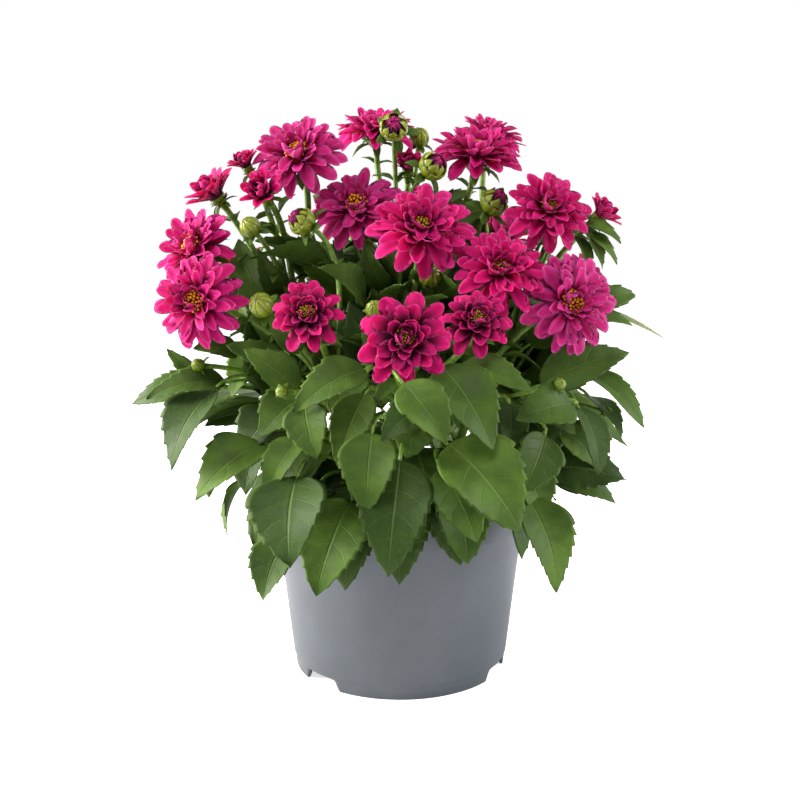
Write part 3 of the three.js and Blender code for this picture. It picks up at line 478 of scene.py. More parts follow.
# %% [markdown]
# ## The plant's plan
# The plan says where everything grows, in millimetres. Eight shoots stand in the soil. Each bloom and
# bud names its shoot, its middle, the way it faces (azimuth and elevation in degrees, where azimuth 0
# looks at the camera) and its radius. The leaves on the side that the picture shows are placed one by
# one. All others, round the back and inside the plant, follow a rule, in tiers.

# %% Directions
def direction(facing):
    """The direction of an azimuth and an elevation in degrees."""
    azimuth, elevation = np.radians(facing)
    level = math.cos(elevation)
    return np.array([math.sin(azimuth) * level, -math.cos(azimuth) * level, math.sin(elevation)])


print("azimuth 0 is", direction((0, 0)).round(3) + 0.0)

# %% Shoots
SHOOTS = {
    "middle": ([0, 4], [0, 10, 168]),
    "front_left": ([-17, -18], [-30, -40, 142]),
    "front": ([2, -25], [3, -50, 146]),
    "front_right": ([20, -16], [32, -40, 142]),
    "left": ([-26, 4], [-54, -6, 146]),
    "right": ([26, 5], [54, 0, 146]),
    "back_left": ([-16, 24], [-36, 46, 142]),
    "back_right": ([17, 24], [36, 46, 142]),
}
print(len(SHOOTS), "shoots")

# %% Blooms
# Name, shoot, middle, azimuth and elevation of its axis, radius, how far open, age from 0 to 1. The age
# rules the colour of the petals, and blooms older than a certain age have orange hearts.
BLOOMS = [
    ("top_left", "left", (-50, -5, 259), (-15, 45), 23, "open", 0.75),
    ("top_mid", "middle", (-13, 35, 274), (-10, 74), 21.5, "open", 0.42),
    ("top_right", "middle", (38, 10, 261), (15, 68), 24, "open", 0.44),
    ("crest", "right", (48, 52, 272), (60, 78), 19, "open", 0.44),
    ("centre_left", "middle", (-21, -8, 234), (-8, 36), 22, "open", 0.7),
    ("centre", "front", (10, -45, 224), (4, 36), 24, "full", 0.4),
    ("left_high", "left", (-100, -16, 214), (-42, 32), 22, "open", 0.47),
    ("left_low", "front_left", (-92, -52, 191), (-18, 12), 22, "open", 0.47),
    ("right_high", "right", (71, -15, 232), (12, 34), 21, "full", 0.4),
    ("right_mid", "front_right", (45, -55, 205), (6, 34), 21, "full", 0.3),
    ("right_low", "front_right", (78, -52, 190), (20, 12), 23, "open", 0.75),
    ("small_left", "front_left", (-40, -75, 187), (-6, 24), 16.5, "young", 0.05),
    ("front", "front", (2, -92, 178), (0, 14), 21, "young", 0.1),
    ("small_right", "front", (33, -76, 184), (4, 36), 16.5, "young", 0.0),
    ("back_far_left", "back_left", (-92, 56, 196), (-125, 34), 22, "open", 0.6),
    ("back_high", "back_left", (-30, 84, 232), (-165, 48), 22, "open", 0.35),
    ("back_right", "back_right", (58, 82, 216), (150, 38), 22, "full", 0.15),
    ("back_far_right", "right", (98, 44, 192), (112, 28), 21, "open", 0.7),
    ("back_low_left", "back_left", (-36, 94, 180), (-165, 18), 20, "full", 0.1),
    ("back_low_right", "back_right", (24, 96, 176), (170, 16), 21, "open", 0.5),
    ("side_left", "left", (-91, -4, 240), (-55, 50), 13, "half", 0.1),
    ("young_left", "left", (-65, -18, 240), (-20, 34), 10, "half", 0.1),
    ("opening_left", "left", (-76, 2, 254), (-60, 60), 8, "half", 0.0),
    ("young_right", "right", (99, -2, 230), (60, 42), 9.5, "half", 0.3),
    ("young_top", "middle", (4, 27, 254), (0, 60), 8.5, "half", 0.0),
]
print(len(BLOOMS), "blooms")

# %% Buds
# Name, shoot, middle, azimuth and elevation of its axis, radius, and whether it shows its petals.
BUDS = [
    ("bud_top", "middle", (-3, 2, 271), (0, 20), 6.8, True),
    ("bud_top_right", "middle", (16, -10, 252), (40, 30), 6.8, True),
    ("bud_right", "right", (46, -4, 235), (40, 40), 6.8, True),
    ("bud_left", "front_left", (-46, -28, 226), (-60, 30), 6.4, True),
    ("bud_crest", "middle", (10, 40, 268), (10, 60), 5, False),
    ("bud_far_left", "left", (-70, -26, 223), (-40, 40), 4.8, False),
    ("bud_low_left", "front_left", (-62, -55, 189), (-20, 30), 5.4, False),
    ("bud_centre", "front", (14, -33, 201), (10, 20), 5.4, False),
    ("bud_front", "front", (-11, -68, 188), (-10, 40), 4, False),
    ("bud_small_front", "front_left", (-51, -80, 154), (-20, 10), 2.6, False),
    ("bud_small_left", "left", (-94, -40, 160), (-50, 10), 3, False),
    ("bud_small_right", "front_right", (70, -72, 156), (20, 20), 2.6, False),
    ("bud_side_right", "right", (98, -38, 137), (50, -10), 2.6, False),
    ("bud_back", "back_right", (12, 90, 216), (175, 50), 6, False),
    ("bud_back_left", "back_left", (-66, 78, 214), (-140, 50), 5, False),
]
print(len(BUDS), "buds")

# %% Leaves on the near side
# Shoot, foot and tip of the blade, width, and the way that its upper face looks where that isn't
# forwards, upwards and a little outwards.
NEAR_LEAVES = [
    ("front_left", (-46, -72, 114), (-47, -98, 81), 38),
    ("front_left", (-51, -60, 84), (-61, -80, 59), 24),
    ("front", (-22, -62, 101), (-37, -84, 63), 34),
    ("front", (0, -80, 124), (-5, -108, 80), 33),
    ("front", (-12, -84, 137), (-14, -102, 106), 26),
    ("front", (25, -64, 104), (30, -82, 77), 26),
    ("front_right", (18, -74, 118), (33, -94, 90), 27),
    ("front_right", (20, -90, 133), (50, -108, 100), 38),
    ("front_right", (58, -60, 102), (71, -74, 61), 27),
    ("front_left", (-62, -52, 125), (-92, -70, 103), 28),
    ("left", (-75, -10, 100), (-86, -22, 72), 24, (-1, -0.1, 0.3)),
    ("left", (-66, -25, 121), (-74, -38, 97), 19),
    ("front_left", (-44, -58, 130), (-60, -74, 106), 18),
    ("right", (69, -40, 110), (106, -46, 106), 29),
    ("right", (74, -26, 103), (105, -30, 91), 20),
    ("front_right", (65, -66, 132), (53, -82, 109), 23),
    ("front_right", (77, -66, 146), (50, -82, 142), 22),
    ("right", (82, -50, 142), (90, -64, 113), 18),
    ("right", (86, -34, 156), (114, -46, 131), 17),
    ("right", (90, -30, 144), (103, -48, 126), 13),
    ("right", (64, -46, 151), (107, -40, 166), 22),
    ("front_right", (26, -72, 164), (56, -90, 155), 16),
    ("front_right", (17, -82, 166), (39, -100, 132), 27),
    ("front", (1, -102, 161), (19, -112, 138), 22),
    ("front", (13, -84, 150), (-8, -104, 137), 20),
    ("front_right", (49, -62, 146), (47, -78, 124), 16),
    ("front_left", (-15, -74, 163), (-45, -92, 147), 22),
    ("front_left", (-41, -86, 150), (-35, -98, 128), 20),
    ("front", (-15, -66, 151), (-27, -86, 122), 20),
    ("left", (-86, -44, 149), (-104, -62, 115), 28),
    ("left", (-82, -36, 151), (-117, -48, 145), 19),
    ("left", (-88, -14, 145), (-134, -8, 136), 20),
    ("left", (-66, -20, 134), (-97, -16, 126), 17),
    ("left", (-62, -10, 176), (-80, -18, 202), 14),
    ("left", (-58, -12, 166), (-87, -20, 180), 16),
    ("left", (-56, -6, 186), (-69, -12, 213), 13),
    ("left", (-65, 2, 182), (-80, 0, 217), 25, (-0.45, -0.8, 0.4)),
    ("front_left", (-46, -44, 166), (-62, -52, 194), 13),
    ("front_left", (-52, -40, 156), (-80, -46, 170), 16),
    ("front_left", (-44, -44, 146), (-64, -54, 128), 25),
    ("front", (-20, -50, 160), (-30, -61, 140), 24),
    ("front", (9, -58, 143), (3, -70, 122), 25),
    ("front_left", (-45, -50, 128), (-54, -60, 103), 24),
    ("left", (-57, -38, 138), (-74, -48, 117), 25),
    ("right", (55, -38, 145), (82, -46, 128), 28),
    ("right", (74, -33, 130), (94, -43, 110), 24),
    ("front_right", (55, -50, 114), (66, -60, 93), 25),
    ("left", (-64, -18, 165), (-81, -28, 142), 22),
    ("right", (62, -24, 168), (88, -28, 184), 18),
    ("right", (54, -40, 138), (74, -48, 119), 27),
    ("front_right", (45, -42, 151), (60, -50, 134), 21),
    ("front_left", (-46, -55, 150), (-70, -60, 170), 18),
    ("left", (-76, -30, 164), (-97, -36, 167), 14),
    ("right", (94, -14, 186), (116, -6, 190), 13),
    ("right", (98, -6, 184), (132, -4, 168), 3.6, (0.4, -0.6, 0.7)),
    ("left", (-96, -26, 152), (-110, -34, 167), 9),
    ("right", (92, -16, 180), (113, -16, 176), 9),
    ("right", (91, -8, 220), (105, -12, 205), 10),
    ("right", (88, -6, 224), (98, -12, 203), 11),
    ("right", (86, -8, 219), (90, -14, 201), 10),
    ("right", (90, -6, 225), (107, -10, 215), 11),
]
print(len(NEAR_LEAVES), "leaves on the near side")

# %% Leaves by rule
# First and last azimuth, how many, radius and height of the foot and of the tip, and the width. The
# first four tiers clothe the back. The others fill the plant between its blooms and round its foot,
# and the last six stand steeply, like walls, so that no light comes through behind the blooms.
TIERS = [
    (96, 264, 8, (58, 112), (106, 80), 38),
    (80, 280, 9, (60, 136), (121, 118), 37),
    (106, 254, 6, (44, 158), (94, 160), 34),
    (130, 230, 4, (24, 164), (52, 200), 26),
    (10, 340, 10, (24, 104), (56, 96), 26),
    (28, 352, 10, (22, 128), (58, 124), 26),
    (0, 324, 9, (20, 150), (50, 156), 24),
    (20, 340, 9, (16, 172), (44, 190), 24),
    (-78, 78, 8, (40, 122), (84, 98), 30),
    (-70, 70, 7, (56, 106), (82, 66), 30),
    (15, 345, 10, (40, 164), (74, 174), 24),
    (0, 330, 12, (26, 184), (58, 198), 22),
    (62, 298, 12, (42, 176), (84, 182), 28),
    (70, 290, 10, (36, 200), (76, 210), 24),
    (100, 260, 6, (20, 220), (50, 236), 20),
    (-66, 66, 6, (24, 166), (56, 172), 24),
    (84, 276, 11, (30, 146), (62, 196), 30),
    (96, 264, 8, (24, 186), (50, 232), 24),
    (-84, 84, 9, (22, 150), (46, 196), 26),
    (0, 320, 8, (8, 192), (26, 232), 20),
    (-108, -72, 3, (52, 140), (80, 186), 28),
    (72, 108, 3, (52, 140), (80, 186), 28),
]
TIER_LENGTHS = [1, 0.92, 1.04, 0.96]
SOLID_TIERS, SOLID_STRAY = 4, 0.33
SIDESTEP = 5
AZIMUTH_STRAY, HEIGHT_STRAY, WIDTH_STRAY, TWIST_STRAY = 7, 9, 0.2, 0.4
SHORTEST_LEAF = 16.0
BLOOM_REACH, BLOOM_UNDER, BLOOM_OVER = 0.95, -0.3, 0.7


def nearest_shoot(x, y):
    """The shoot whose top stands nearest."""
    return min(SHOOTS, key=lambda name: math.hypot(SHOOTS[name][1][0] - x, SHOOTS[name][1][1] - y))


def clear_share(start, end):
    """How much of the way from start to end a leaf may take: up to the last of 21 points on it before it
    meets a bloom, less a little. A bloom counts as a thick disc round its axis."""
    way = np.linspace(0, 1, 21)
    points = start + way[:, None] * (end - start)
    for _, _, middle, facing, radius, _, _ in BLOOMS:
        axis = direction(facing)
        offset = points - np.array(middle)
        height = offset @ axis
        reach = np.linalg.norm(offset - height[:, None] * axis, axis=1)
        level = (height > BLOOM_UNDER * radius) & (height < BLOOM_OVER * radius)
        inside = level & (reach < BLOOM_REACH * radius)
        if inside.any():
            way = way[: np.argmax(inside)]
            points = points[: len(way)]
    return max(way[-1] - 0.05, 0.0) if len(way) else 0.0


def tier_leaves():
    """Leaves spaced in azimuth along each tier; their lengths vary in a cycle of four and their tips
    step aside in turn. Each also strays a little, in azimuth, height, width and twist, and the leaves
    that the solids don't show stray three times as far. A leaf stops short of a bloom, and is left out
    where it would be a stub."""
    leaves = []
    rng = np.random.default_rng(7)
    for row, (first, last, count, foot, tip, width) in enumerate(TIERS):
        stray = rng.uniform(-1, 1, (count, 4)) * (1.0 if row >= SOLID_TIERS else SOLID_STRAY)
        azimuths = np.radians(np.linspace(first, last, count) + AZIMUTH_STRAY * stray[:, 0])
        for i, azimuth in enumerate(azimuths):
            out = np.array([math.sin(azimuth), -math.cos(azimuth), 0])
            across = np.array([-out[1], out[0], 0])
            scale = TIER_LENGTHS[(i + row) % len(TIER_LENGTHS)]
            reach = foot[0] + (tip[0] - foot[0]) * scale
            start = out * foot[0] + UP * foot[1]
            end = out * reach + UP * (tip[1] + HEIGHT_STRAY * stray[i, 1])
            end = end + across * SIDESTEP * (1 if i % 2 == 0 else -1)
            share = clear_share(start, end)
            if share * np.linalg.norm(end - start) > SHORTEST_LEAF:
                end = start + share * (end - start)
                size = width * scale * (0.4 + 0.6 * share) * (1 + WIDTH_STRAY * stray[i, 2])
                face = out * 0.7 + UP * 0.7 + across * TWIST_STRAY * stray[i, 3]
                leaves.append((nearest_shoot(*start[:2]), start, end, size, face, row < SOLID_TIERS))
    return leaves


RULED_LEAVES = tier_leaves()
print(len(RULED_LEAVES), "leaves by rule")

# %% [markdown]
# ## Stems and stalks
# A dahlia's stems are round, juicy and pale green, a little swollen at each joint where leaves leave
# them. A path is a cubic Bezier curve, because four points say where it starts, how it leaves, how it
# arrives and where it ends. A ring of points is carried along the path, square to it. A curve object
# with a bevel would also do, but a grid keeps every stem in one mesh with the rest of its shoot.

# %% Paths and tubes
STEM_START = 48.3
STEM_ROOT = 34.0
STEM_RADIUS, STEM_TIP_RADIUS = 3.0, 2.0


def bezier(a, b, c, d, steps=48):
    """A cubic Bezier: the corners weighted by (1-t)^3, 3(1-t)^2 t, 3(1-t) t^2 and t^3, put in even steps."""
    t = np.linspace(0, 1, 4 * steps)[:, None]
    points = (1 - t) ** 3 * a + 3 * (1 - t) ** 2 * t * b + 3 * (1 - t) * t**2 * c + t**3 * d
    return at_shares(points, np.linspace(0, 1, steps + 1))


def at_shares(path, shares):
    """Points of a path at the given shares of its length."""
    run = np.concatenate([[0], np.cumsum(np.linalg.norm(np.diff(path, axis=0), axis=1))])
    return np.stack([np.interp(shares, run / run[-1], path[:, k]) for k in range(3)], axis=-1)


def tube(path, radii, sides):
    """Rings of the given radii, square to the path; both ends are closed by a ring shrunk to a point."""
    heading = unit(np.gradient(path, axis=0))
    hint = np.cross(UP, path[-1] - path[0]) + (1e-3, 0, 0)
    x = unit(hint - (heading @ hint)[:, None] * heading)
    y = np.cross(heading, x)
    turn = np.linspace(0, 2 * np.pi, sides, endpoint=False)[:, None]
    rings = path[:, None] + np.asarray(radii)[:, None, None] * (
        np.cos(turn) * x[:, None] + np.sin(turn) * y[:, None]
    )
    ends = [np.broadcast_to(path[k], (1, sides, 3)) for k in (0, -1)]
    return np.concatenate([ends[0], rings, ends[1]])


def main_stem(shoot):
    """A shoot's main stem above its root: it rises straight and leans out to its top."""
    foot, top = SHOOTS[shoot]
    start, end = np.array([*foot, STEM_START + STEM_ROOT]), np.array(top, float)
    rise = (end[2] - start[2]) / 2
    return bezier(start, start + UP * rise * 0.8, end - UP * rise * 0.6, end)


STEMS = {shoot: main_stem(shoot) for shoot in SHOOTS}
print("main stems from", STEM_START, "mm up to", max(path[-1, 2] for path in STEMS.values()), "mm")

# %% Directions and frames
def axes_round(axis, spin=0.0):
    """Two directions square to an axis and to each other, turned about it by the spin."""
    hint = np.array([1.0, 0, 0]) if abs(axis[2]) > 0.9 else UP
    x = unit(np.cross(hint, axis))
    y = np.cross(axis, x)
    return x * math.cos(spin) + y * math.sin(spin), y * math.cos(spin) - x * math.sin(spin)


FORK_LOW, FORK_HIGH = 0.66, 0.98
STALK_STEPS = 24
HEADS = [(name, shoot, middle) for name, shoot, middle, *_ in [*BLOOMS, *BUDS]]


def stalk_path(name, shoot, end, axis):
    """A head's stalk forks off its stem, the higher the higher the head stands, and ends along its axis."""
    heights = {mate: middle[2] for mate, home, middle in HEADS if home == shoot}
    lower = sum(height < heights[name] for height in heights.values())
    share = FORK_LOW + (FORK_HIGH - FORK_LOW) * lower / (len(heights) - 1)
    start = at_shares(STEMS[shoot], share)
    reach = np.linalg.norm(end - start)
    return bezier(start, start + UP * reach * 0.36, end - axis * reach * 0.3, end, STALK_STEPS)


print("stalks for", len(HEADS), "heads")

# %% [markdown]
# ## Petals
# A dahlia's petal is a broad spoon: narrow at its claw, widest at two thirds of its length, and rounded
# at its tip, with raised edges and a few lengthwise ridges. A bloom sets several whorls of them round a
# domed heart, each whorl steeper and shorter than the one outside it. One function makes all petals of a
# whorl at once. It reads two numbers at each point, the share of the petal's length and how far across
# it lies, and the petal's slope, width and lift at that point follow from them. In a bud that begins to
# open, many narrow petals curl in over the middle.

# %% Petal outlines
PETAL_ROWS, PETAL_COLUMNS = 8, 4
ROW_CROWDING = 1.15
EDGE_WAVE = 0.14


def section(columns):
    """Round a thin blade: across goes from -1 to 1 over the upper face and back under the lower one, and
    side is 1 above, -1 below and 0 on both edges."""
    over = np.linspace(-1, 1, columns + 1)
    across = np.concatenate([over, over[-2:0:-1]])
    side = np.concatenate([np.ones(columns + 1), -np.ones(columns - 1)])
    side[[0, columns]] = 0
    return across, side


OUTLINES = {
    "petal": lambda s: 0.26 * (1 - s) ** 2 + np.sin(np.pi * s**1.6) ** 0.48,
    "lance": lambda s: 0.3 * (1 - s) ** 2 + np.sin(np.pi * s**1.15) ** 0.85,
    "bract": lambda s: 0.8 * (1 - s) ** 2 + np.sin(np.pi * s**0.8) ** 1.0,
}


def whorl(centre, axis, spin, shape, inner, low, length, width, slope, tip, cup, roll, thickness, ridge=0.0):
    """The petals of a whorl as shells. Each argument from inner on is a number or one value per petal.
    At share s of a petal, its slope is between slope and tip, and its middle line lies inner + length *
    s * cos(slope) from the axis and low + length * s * sin(slope) along it. From the line, a point goes
    sideways by the outline's width, and lifts with the square of that for the spoon, plus a wave for the
    ridges and a slow one along each edge. The roll turns each petal about its middle line."""
    spin = np.asarray(spin, float)[:, None, None]
    many = (inner, low, length, width, slope, tip, cup, roll)
    inner, low, length, width, slope, tip, cup, roll = (
        np.asarray(value, float).reshape(-1, 1, 1) for value in many
    )
    even = np.linspace(0, 1, PETAL_ROWS)
    s = np.concatenate([[0], np.sin(even * np.pi / 2) ** ROW_CROWDING])[:, None]
    open_row = np.concatenate([[0], np.ones(PETAL_ROWS)])[:, None]
    across, side = section(PETAL_COLUMNS)
    half = 0.5 * width * np.clip(OUTLINES[shape](s), 0, None) * open_row
    angle = np.radians(slope + (tip - slope) * s)
    radius = inner + length * s * np.cos(angle)
    height = low + length * s * np.sin(angle)
    lift = cup * half * across**2 * (1.45 - 0.95 * s) + ridge * np.cos(3 * np.pi * across) * np.sin(np.pi * s)
    lift = lift + EDGE_WAVE * half * np.sin(3 * np.pi * s + 5 * spin) * across**3
    lift = lift + 0.5 * thickness * side * np.sqrt(1 - 0.9 * across**2) * open_row * (1 - 0.6 * s)
    sideways = half * across * np.cos(roll) - lift * np.sin(roll)
    lift = half * across * np.sin(roll) + lift * np.cos(roll)
    radius = radius - lift * np.sin(angle)
    height = height + lift * np.cos(angle)
    x, y = axes_round(axis)
    out = np.cos(spin)[..., None] * x + np.sin(spin)[..., None] * y
    aside = np.cos(spin)[..., None] * y - np.sin(spin)[..., None] * x
    points = centre + radius[..., None] * out + sideways[..., None] * aside + height[..., None] * axis
    grid = points.shape[:-1]
    return points, np.broadcast_to(s, grid), np.broadcast_to(across, grid)


print("a petal has", PETAL_ROWS, "rows of", len(section(PETAL_COLUMNS)[0]), "faces")

# %% Stages of opening
# How far a flower has opened: petals in each whorl, their slope at the claw and at the tip, their length
# against the space from the hub to the radius, the hub's size against the radius, the spoon's depth, the
# width against the radius, and how dark the outer whorl starts, where 1 is as dark as the innermost.
STAGES = {
    "open": {
        "counts": (13, 13, 12, 10, 9, 7), "slopes": (4, 17, 31, 46, 60, 74),
        "tips": (-8, 8, 24, 44, 60, 74), "lengths": (1.08, 1.02, 0.93, 0.78, 0.58, 0.36),
        "hub": 0.25, "cup": 0.7, "breadth": 0.31, "dark": 0.0,
    },
    "full": {
        "counts": (12, 12, 11, 10, 8, 6), "slopes": (8, 22, 38, 54, 68, 78),
        "tips": (-2, 16, 34, 52, 70, 86), "lengths": (1.08, 1.0, 0.9, 0.74, 0.54, 0.36),
        "hub": 0.18, "cup": 0.75, "breadth": 0.33, "dark": 0.0,
    },
    "young": {
        "counts": (9, 9, 9, 8, 7), "slopes": (12, 28, 46, 62, 74), "tips": (0, 22, 44, 68, 86),
        "lengths": (1.06, 0.88, 0.68, 0.48, 0.32), "hub": 0.18, "cup": 0.7, "breadth": 0.38, "dark": 0.6,
    },
    "half": {
        "counts": (8, 8, 7, 6), "slopes": (34, 48, 64, 76), "tips": (38, 60, 88, 110),
        "lengths": (1.45, 1.2, 0.95, 0.65), "hub": 0.26, "cup": 0.6, "breadth": 0.5, "dark": 0.4,
    },
    "tight": {
        "counts": (16, 13, 10, 7), "slopes": (56, 66, 74, 82), "tips": (126, 134, 142, 150),
        "lengths": (3.4, 2.7, 2.0, 1.3), "hub": 0.62, "cup": 1.1, "breadth": 0.32, "dark": 1.0,
    },
}
HUB_LAYERS = {"open": 2, "full": 2, "young": 2, "half": 1, "tight": 1}
HUB_LAYER, LAYER_HEIGHT = 0.9, 1.8
PETAL_THICKNESS, PETAL_RIDGE = 0.35, 0.2
SLOPE_STRAY, TIP_STRAY, SPIN_STRAY = 8, (-16, 12), 0.16
LENGTH_RANGE, WIDTH_RANGE, CUP_RANGE, ROLL_RANGE = (0.9, 1.05), (0.86, 1.1), (0.6, 1.4), (-0.2, 0.3)


def hub_radius(stage, radius):
    """The hub's radius under the outer whorl, one layer wider for each of the hub's layers."""
    return STAGES[stage]["hub"] * radius + HUB_LAYER * HUB_LAYERS[stage]


def bloom_petals(shells, centre, axis, radius, stage, age, rng):
    """Adds a bloom's whorls, from the outermost in, and the domed hub that carries them. The depth goes
    from 0 at the outer whorl to 1 at the inner one: there petals start nearer the axis, are narrower and
    darker, and their tips stray more."""
    recipe = STAGES[stage]
    hub = hub_radius(stage, radius)
    reach = radius - hub
    levels = len(recipe["counts"])
    top = LAYER_HEIGHT * HUB_LAYERS[stage] + 0.8
    under = np.clip(-section(PETAL_COLUMNS)[1], 0, 1)
    for k, count in enumerate(recipe["counts"]):
        depth = k / (levels - 1)
        inner = hub * (0.85 - 0.32 * depth)
        length = reach * recipe["lengths"][k] * rng.uniform(*LENGTH_RANGE, count) + hub * 0.15
        width = recipe["breadth"] * radius * (1 - 0.3 * depth) * rng.uniform(*WIDTH_RANGE, count)
        place = np.arange(count) + 0.5 * (k % 2) + rng.uniform(-SPIN_STRAY, SPIN_STRAY, count)
        spin = 2 * np.pi * place / count + 0.15 * k
        slope = recipe["slopes"][k] + rng.uniform(-SLOPE_STRAY, SLOPE_STRAY, count)
        tip = recipe["tips"][k] + rng.uniform(*TIP_STRAY, count) * (1 + 1.6 * depth)
        cup = recipe["cup"] * rng.uniform(*CUP_RANGE, count)
        roll = rng.uniform(*ROLL_RANGE, count)
        points, along, across = whorl(
            centre, axis, spin, "petal", inner, 0.4 + top * depth, length, width, slope, tip, cup, roll,
            PETAL_THICKNESS, PETAL_RIDGE,
        )
        tint = rng.random(count)[:, None, None]
        dark = recipe["dark"] + (1 - recipe["dark"]) * depth
        shells.add(points, along=along, across=across, tint=tint, age=age, inner=dark, under=under)
    rise = np.linspace(0, 1, 8)
    rings = np.concatenate([[0], hub * 0.92 * (1 - 0.45 * rise**2), [0]])
    heights = np.concatenate([[-0.2], -0.2 + (top + 1.2) * rise, [top + 1.2]])
    shells.add(turned_on(centre, axis, rings, heights, 20), along=0.05, tint=0.5, age=age, inner=1.0)


def turned_on(centre, axis, radii, heights, sides):
    """A turned shape on an axis: rings of the given radii at the given heights along it."""
    x, y = axes_round(axis)
    turn = np.linspace(0, 2 * np.pi, sides, endpoint=False)[:, None]
    ring = np.cos(turn) * x + np.sin(turn) * y
    return centre + np.asarray(heights)[:, None, None] * axis + np.asarray(radii)[:, None, None] * ring


print("stages:", ", ".join(f"{name} with {sum(s['counts'])} petals" for name, s in STAGES.items()))

# %% [markdown]
# The petal's colour runs from wine red at the claw to hot magenta, with a pale pink edge, and fine
# darker lines run along it. Young petals stay dark far up, old ones fade towards purple, and their backs
# are paler. The paint on the mesh says where on its petal a point lies, and whether it lies on the back,
# so the pattern follows each petal however it bends.

# %% Petal finish
FADED, FRESH_CLOUD, OLD_CLAW = screen(184, 62, 138), screen(224, 40, 134), screen(142, 5, 50)
PALE_BACK, YOUNG_RIM, OLD_RIM = screen(206, 74, 148), screen(238, 62, 150), screen(218, 104, 180)


def petal_material(name, bright, deep, heart):
    """Petal skin: lines along the petal come from a noise that is read far more often across than along.
    The wine red of the claw reaches up by a length that grows with inner and shrinks with age."""
    recipe = Recipe(name, Specular_IOR_Level=0.12, Subsurface_Weight=0.12, Subsurface_Scale=0.002)
    along, across, tint = recipe.paint("along"), recipe.paint("across"), recipe.paint("tint")
    age, inner, under = recipe.paint("age"), recipe.paint("inner"), recipe.paint("under")
    stretched = (recipe.sum("MULTIPLY", *pair) for pair in ((along, 1.2), (across, 9.0), (tint, 40.0)))
    lines = recipe.noise(recipe.vector(*stretched), 1.0, 4.0)
    clouds = recipe.noise(recipe.place(), 190.0, 3.0)
    aside = recipe.sum("ABSOLUTE", across)
    fade_and_trough_shade = recipe.mix(recipe.ease(age, 0.2, 0.85, 0.0, 0.75), bright, FADED)
    # Painted shade: along the middle of each petal, where its spoon forms a trough, the colour is mixed up to
    # 0.55 of the way to the deep red, and the sides stay brighter.
    fade_and_trough_shade = recipe.mix(recipe.ease(aside, 0.0, 0.7, 0.55, 0.0), fade_and_trough_shade, deep)
    skin = recipe.mix(recipe.ease(lines, 0.35, 0.7, 0.0, 0.4), fade_and_trough_shade, deep)
    skin = recipe.mix(recipe.ease(clouds, 0.35, 0.7, 0.0, 0.25), skin, FRESH_CLOUD)
    reach = recipe.sum("MULTIPLY_ADD", inner, 0.55, 0.12)
    reach = recipe.sum("MULTIPLY", reach, recipe.sum("MULTIPLY_ADD", age, -1.1, 1.3))
    shade = recipe.sum("SUBTRACT", along, reach)
    claw = recipe.mix(recipe.ease(age, 0.12, 0.3), heart, OLD_CLAW)
    skin = recipe.mix(recipe.ease(shade, -0.25, 0.3, 1.0, 0.0), skin, claw)
    edge = recipe.sum("MAXIMUM", recipe.ease(aside, 0.78, 1.0), recipe.ease(along, 0.9, 1.0))
    edge = recipe.sum("MULTIPLY", edge, recipe.ease(along, 0.2, 0.7, 0.0, 0.75))
    rim = recipe.mix(age, YOUNG_RIM, OLD_RIM)
    pale = recipe.sum("MULTIPLY", under, recipe.sum("MULTIPLY_ADD", age, 1.1, 0.12))
    skin = recipe.mix(pale, skin, PALE_BACK)
    skin = recipe.mix(edge, skin, rim)
    recipe.bump(lines, 0.0004)
    return recipe.finish(skin, recipe.ease(lines, 0.3, 0.7, 0.52, 0.62))


petal_skin = petal_material("petal_skin", screen(226, 12, 124), screen(178, 6, 86), screen(110, 6, 44))
young_skin = petal_material("young_petal_skin", screen(222, 12, 114), screen(166, 6, 78), screen(62, 6, 38))

# %% [markdown]
# ## The heart's florets
# In the middle of an open bloom stand dozens of tiny tube florets, tipped with pollen. They follow the
# sunflower spiral over a low dome, and each is a small tube that leans with the dome's surface.

# %% Floret shape and finish
FLORETS, FLORET_SIDES = 44, 6
FLORET_GIRTHS = 0.125 * np.array([0, 0.8, 0.7, 1.1, 0.8, 0])
FLORET_HEIGHTS = np.array([-0.6, -0.6, 0.6, 1.2, 1.6, 1.1])


def floret_tubes(centre, axis, radius, rng):
    """Florets on a dome: floret i stands at the angle i golden turns, at a distance that grows with the
    root of i, and leans outwards by up to 40 degrees at the dome's edge."""
    i = np.arange(FLORETS)
    share = np.sqrt((i + 0.5) / FLORETS)[:, None]
    x, y = axes_round(axis)
    out = np.cos(i * GOLDEN_TURN)[:, None] * x + np.sin(i * GOLDEN_TURN)[:, None] * y
    stand = unit(axis + 0.85 * share * out)
    foot = centre + radius * share * out + axis * (1.4 * (1 - share**2))
    side = unit(np.cross(stand, out))
    front = np.cross(side, stand)
    turn = np.linspace(0, 2 * np.pi, FLORET_SIDES, endpoint=False)[:, None]
    ring = np.cos(turn) * side[:, None, None] + np.sin(turn) * front[:, None, None]
    girth = radius * FLORET_GIRTHS[:, None, None]
    tall = FLORET_HEIGHTS[:, None, None]
    size = rng.uniform(0.5, 1.5, FLORETS)[:, None, None, None]
    return foot[:, None, None] + girth * ring + size * tall * stand[:, None, None]


def floret_material(name, pollen, root):
    """Florets: pollen coloured above, darker between, each with a tint of its own."""
    recipe = Recipe(name, Specular_IOR_Level=0.25)
    along, tint = recipe.paint("along"), recipe.paint("tint")
    skin = recipe.mix(recipe.ease(along, 0.25, 0.8), root, pollen)
    skin = recipe.mix(recipe.ease(tint, 0.5, 1.0, 0.0, 0.4), skin, screen(176, 84, 32))
    recipe.bump(recipe.noise(recipe.place(), 2500.0, 2.0), 0.0003)
    return recipe.finish(skin, 0.75)


yellow_florets = floret_material("florets_yellow", screen(222, 186, 50), screen(128, 108, 30))
orange_florets = floret_material("florets_orange", screen(250, 172, 44), screen(190, 84, 30))

# %% [markdown]
# Now the blooms are set. Each bloom's place in the plan gives its hub: the middle of the flower lies a
# fifth of its radius above it. Every bloom draws its small differences from a generator of its own. The
# petals of a bud stand in its ball of green scales, which grows with the shoots further on.

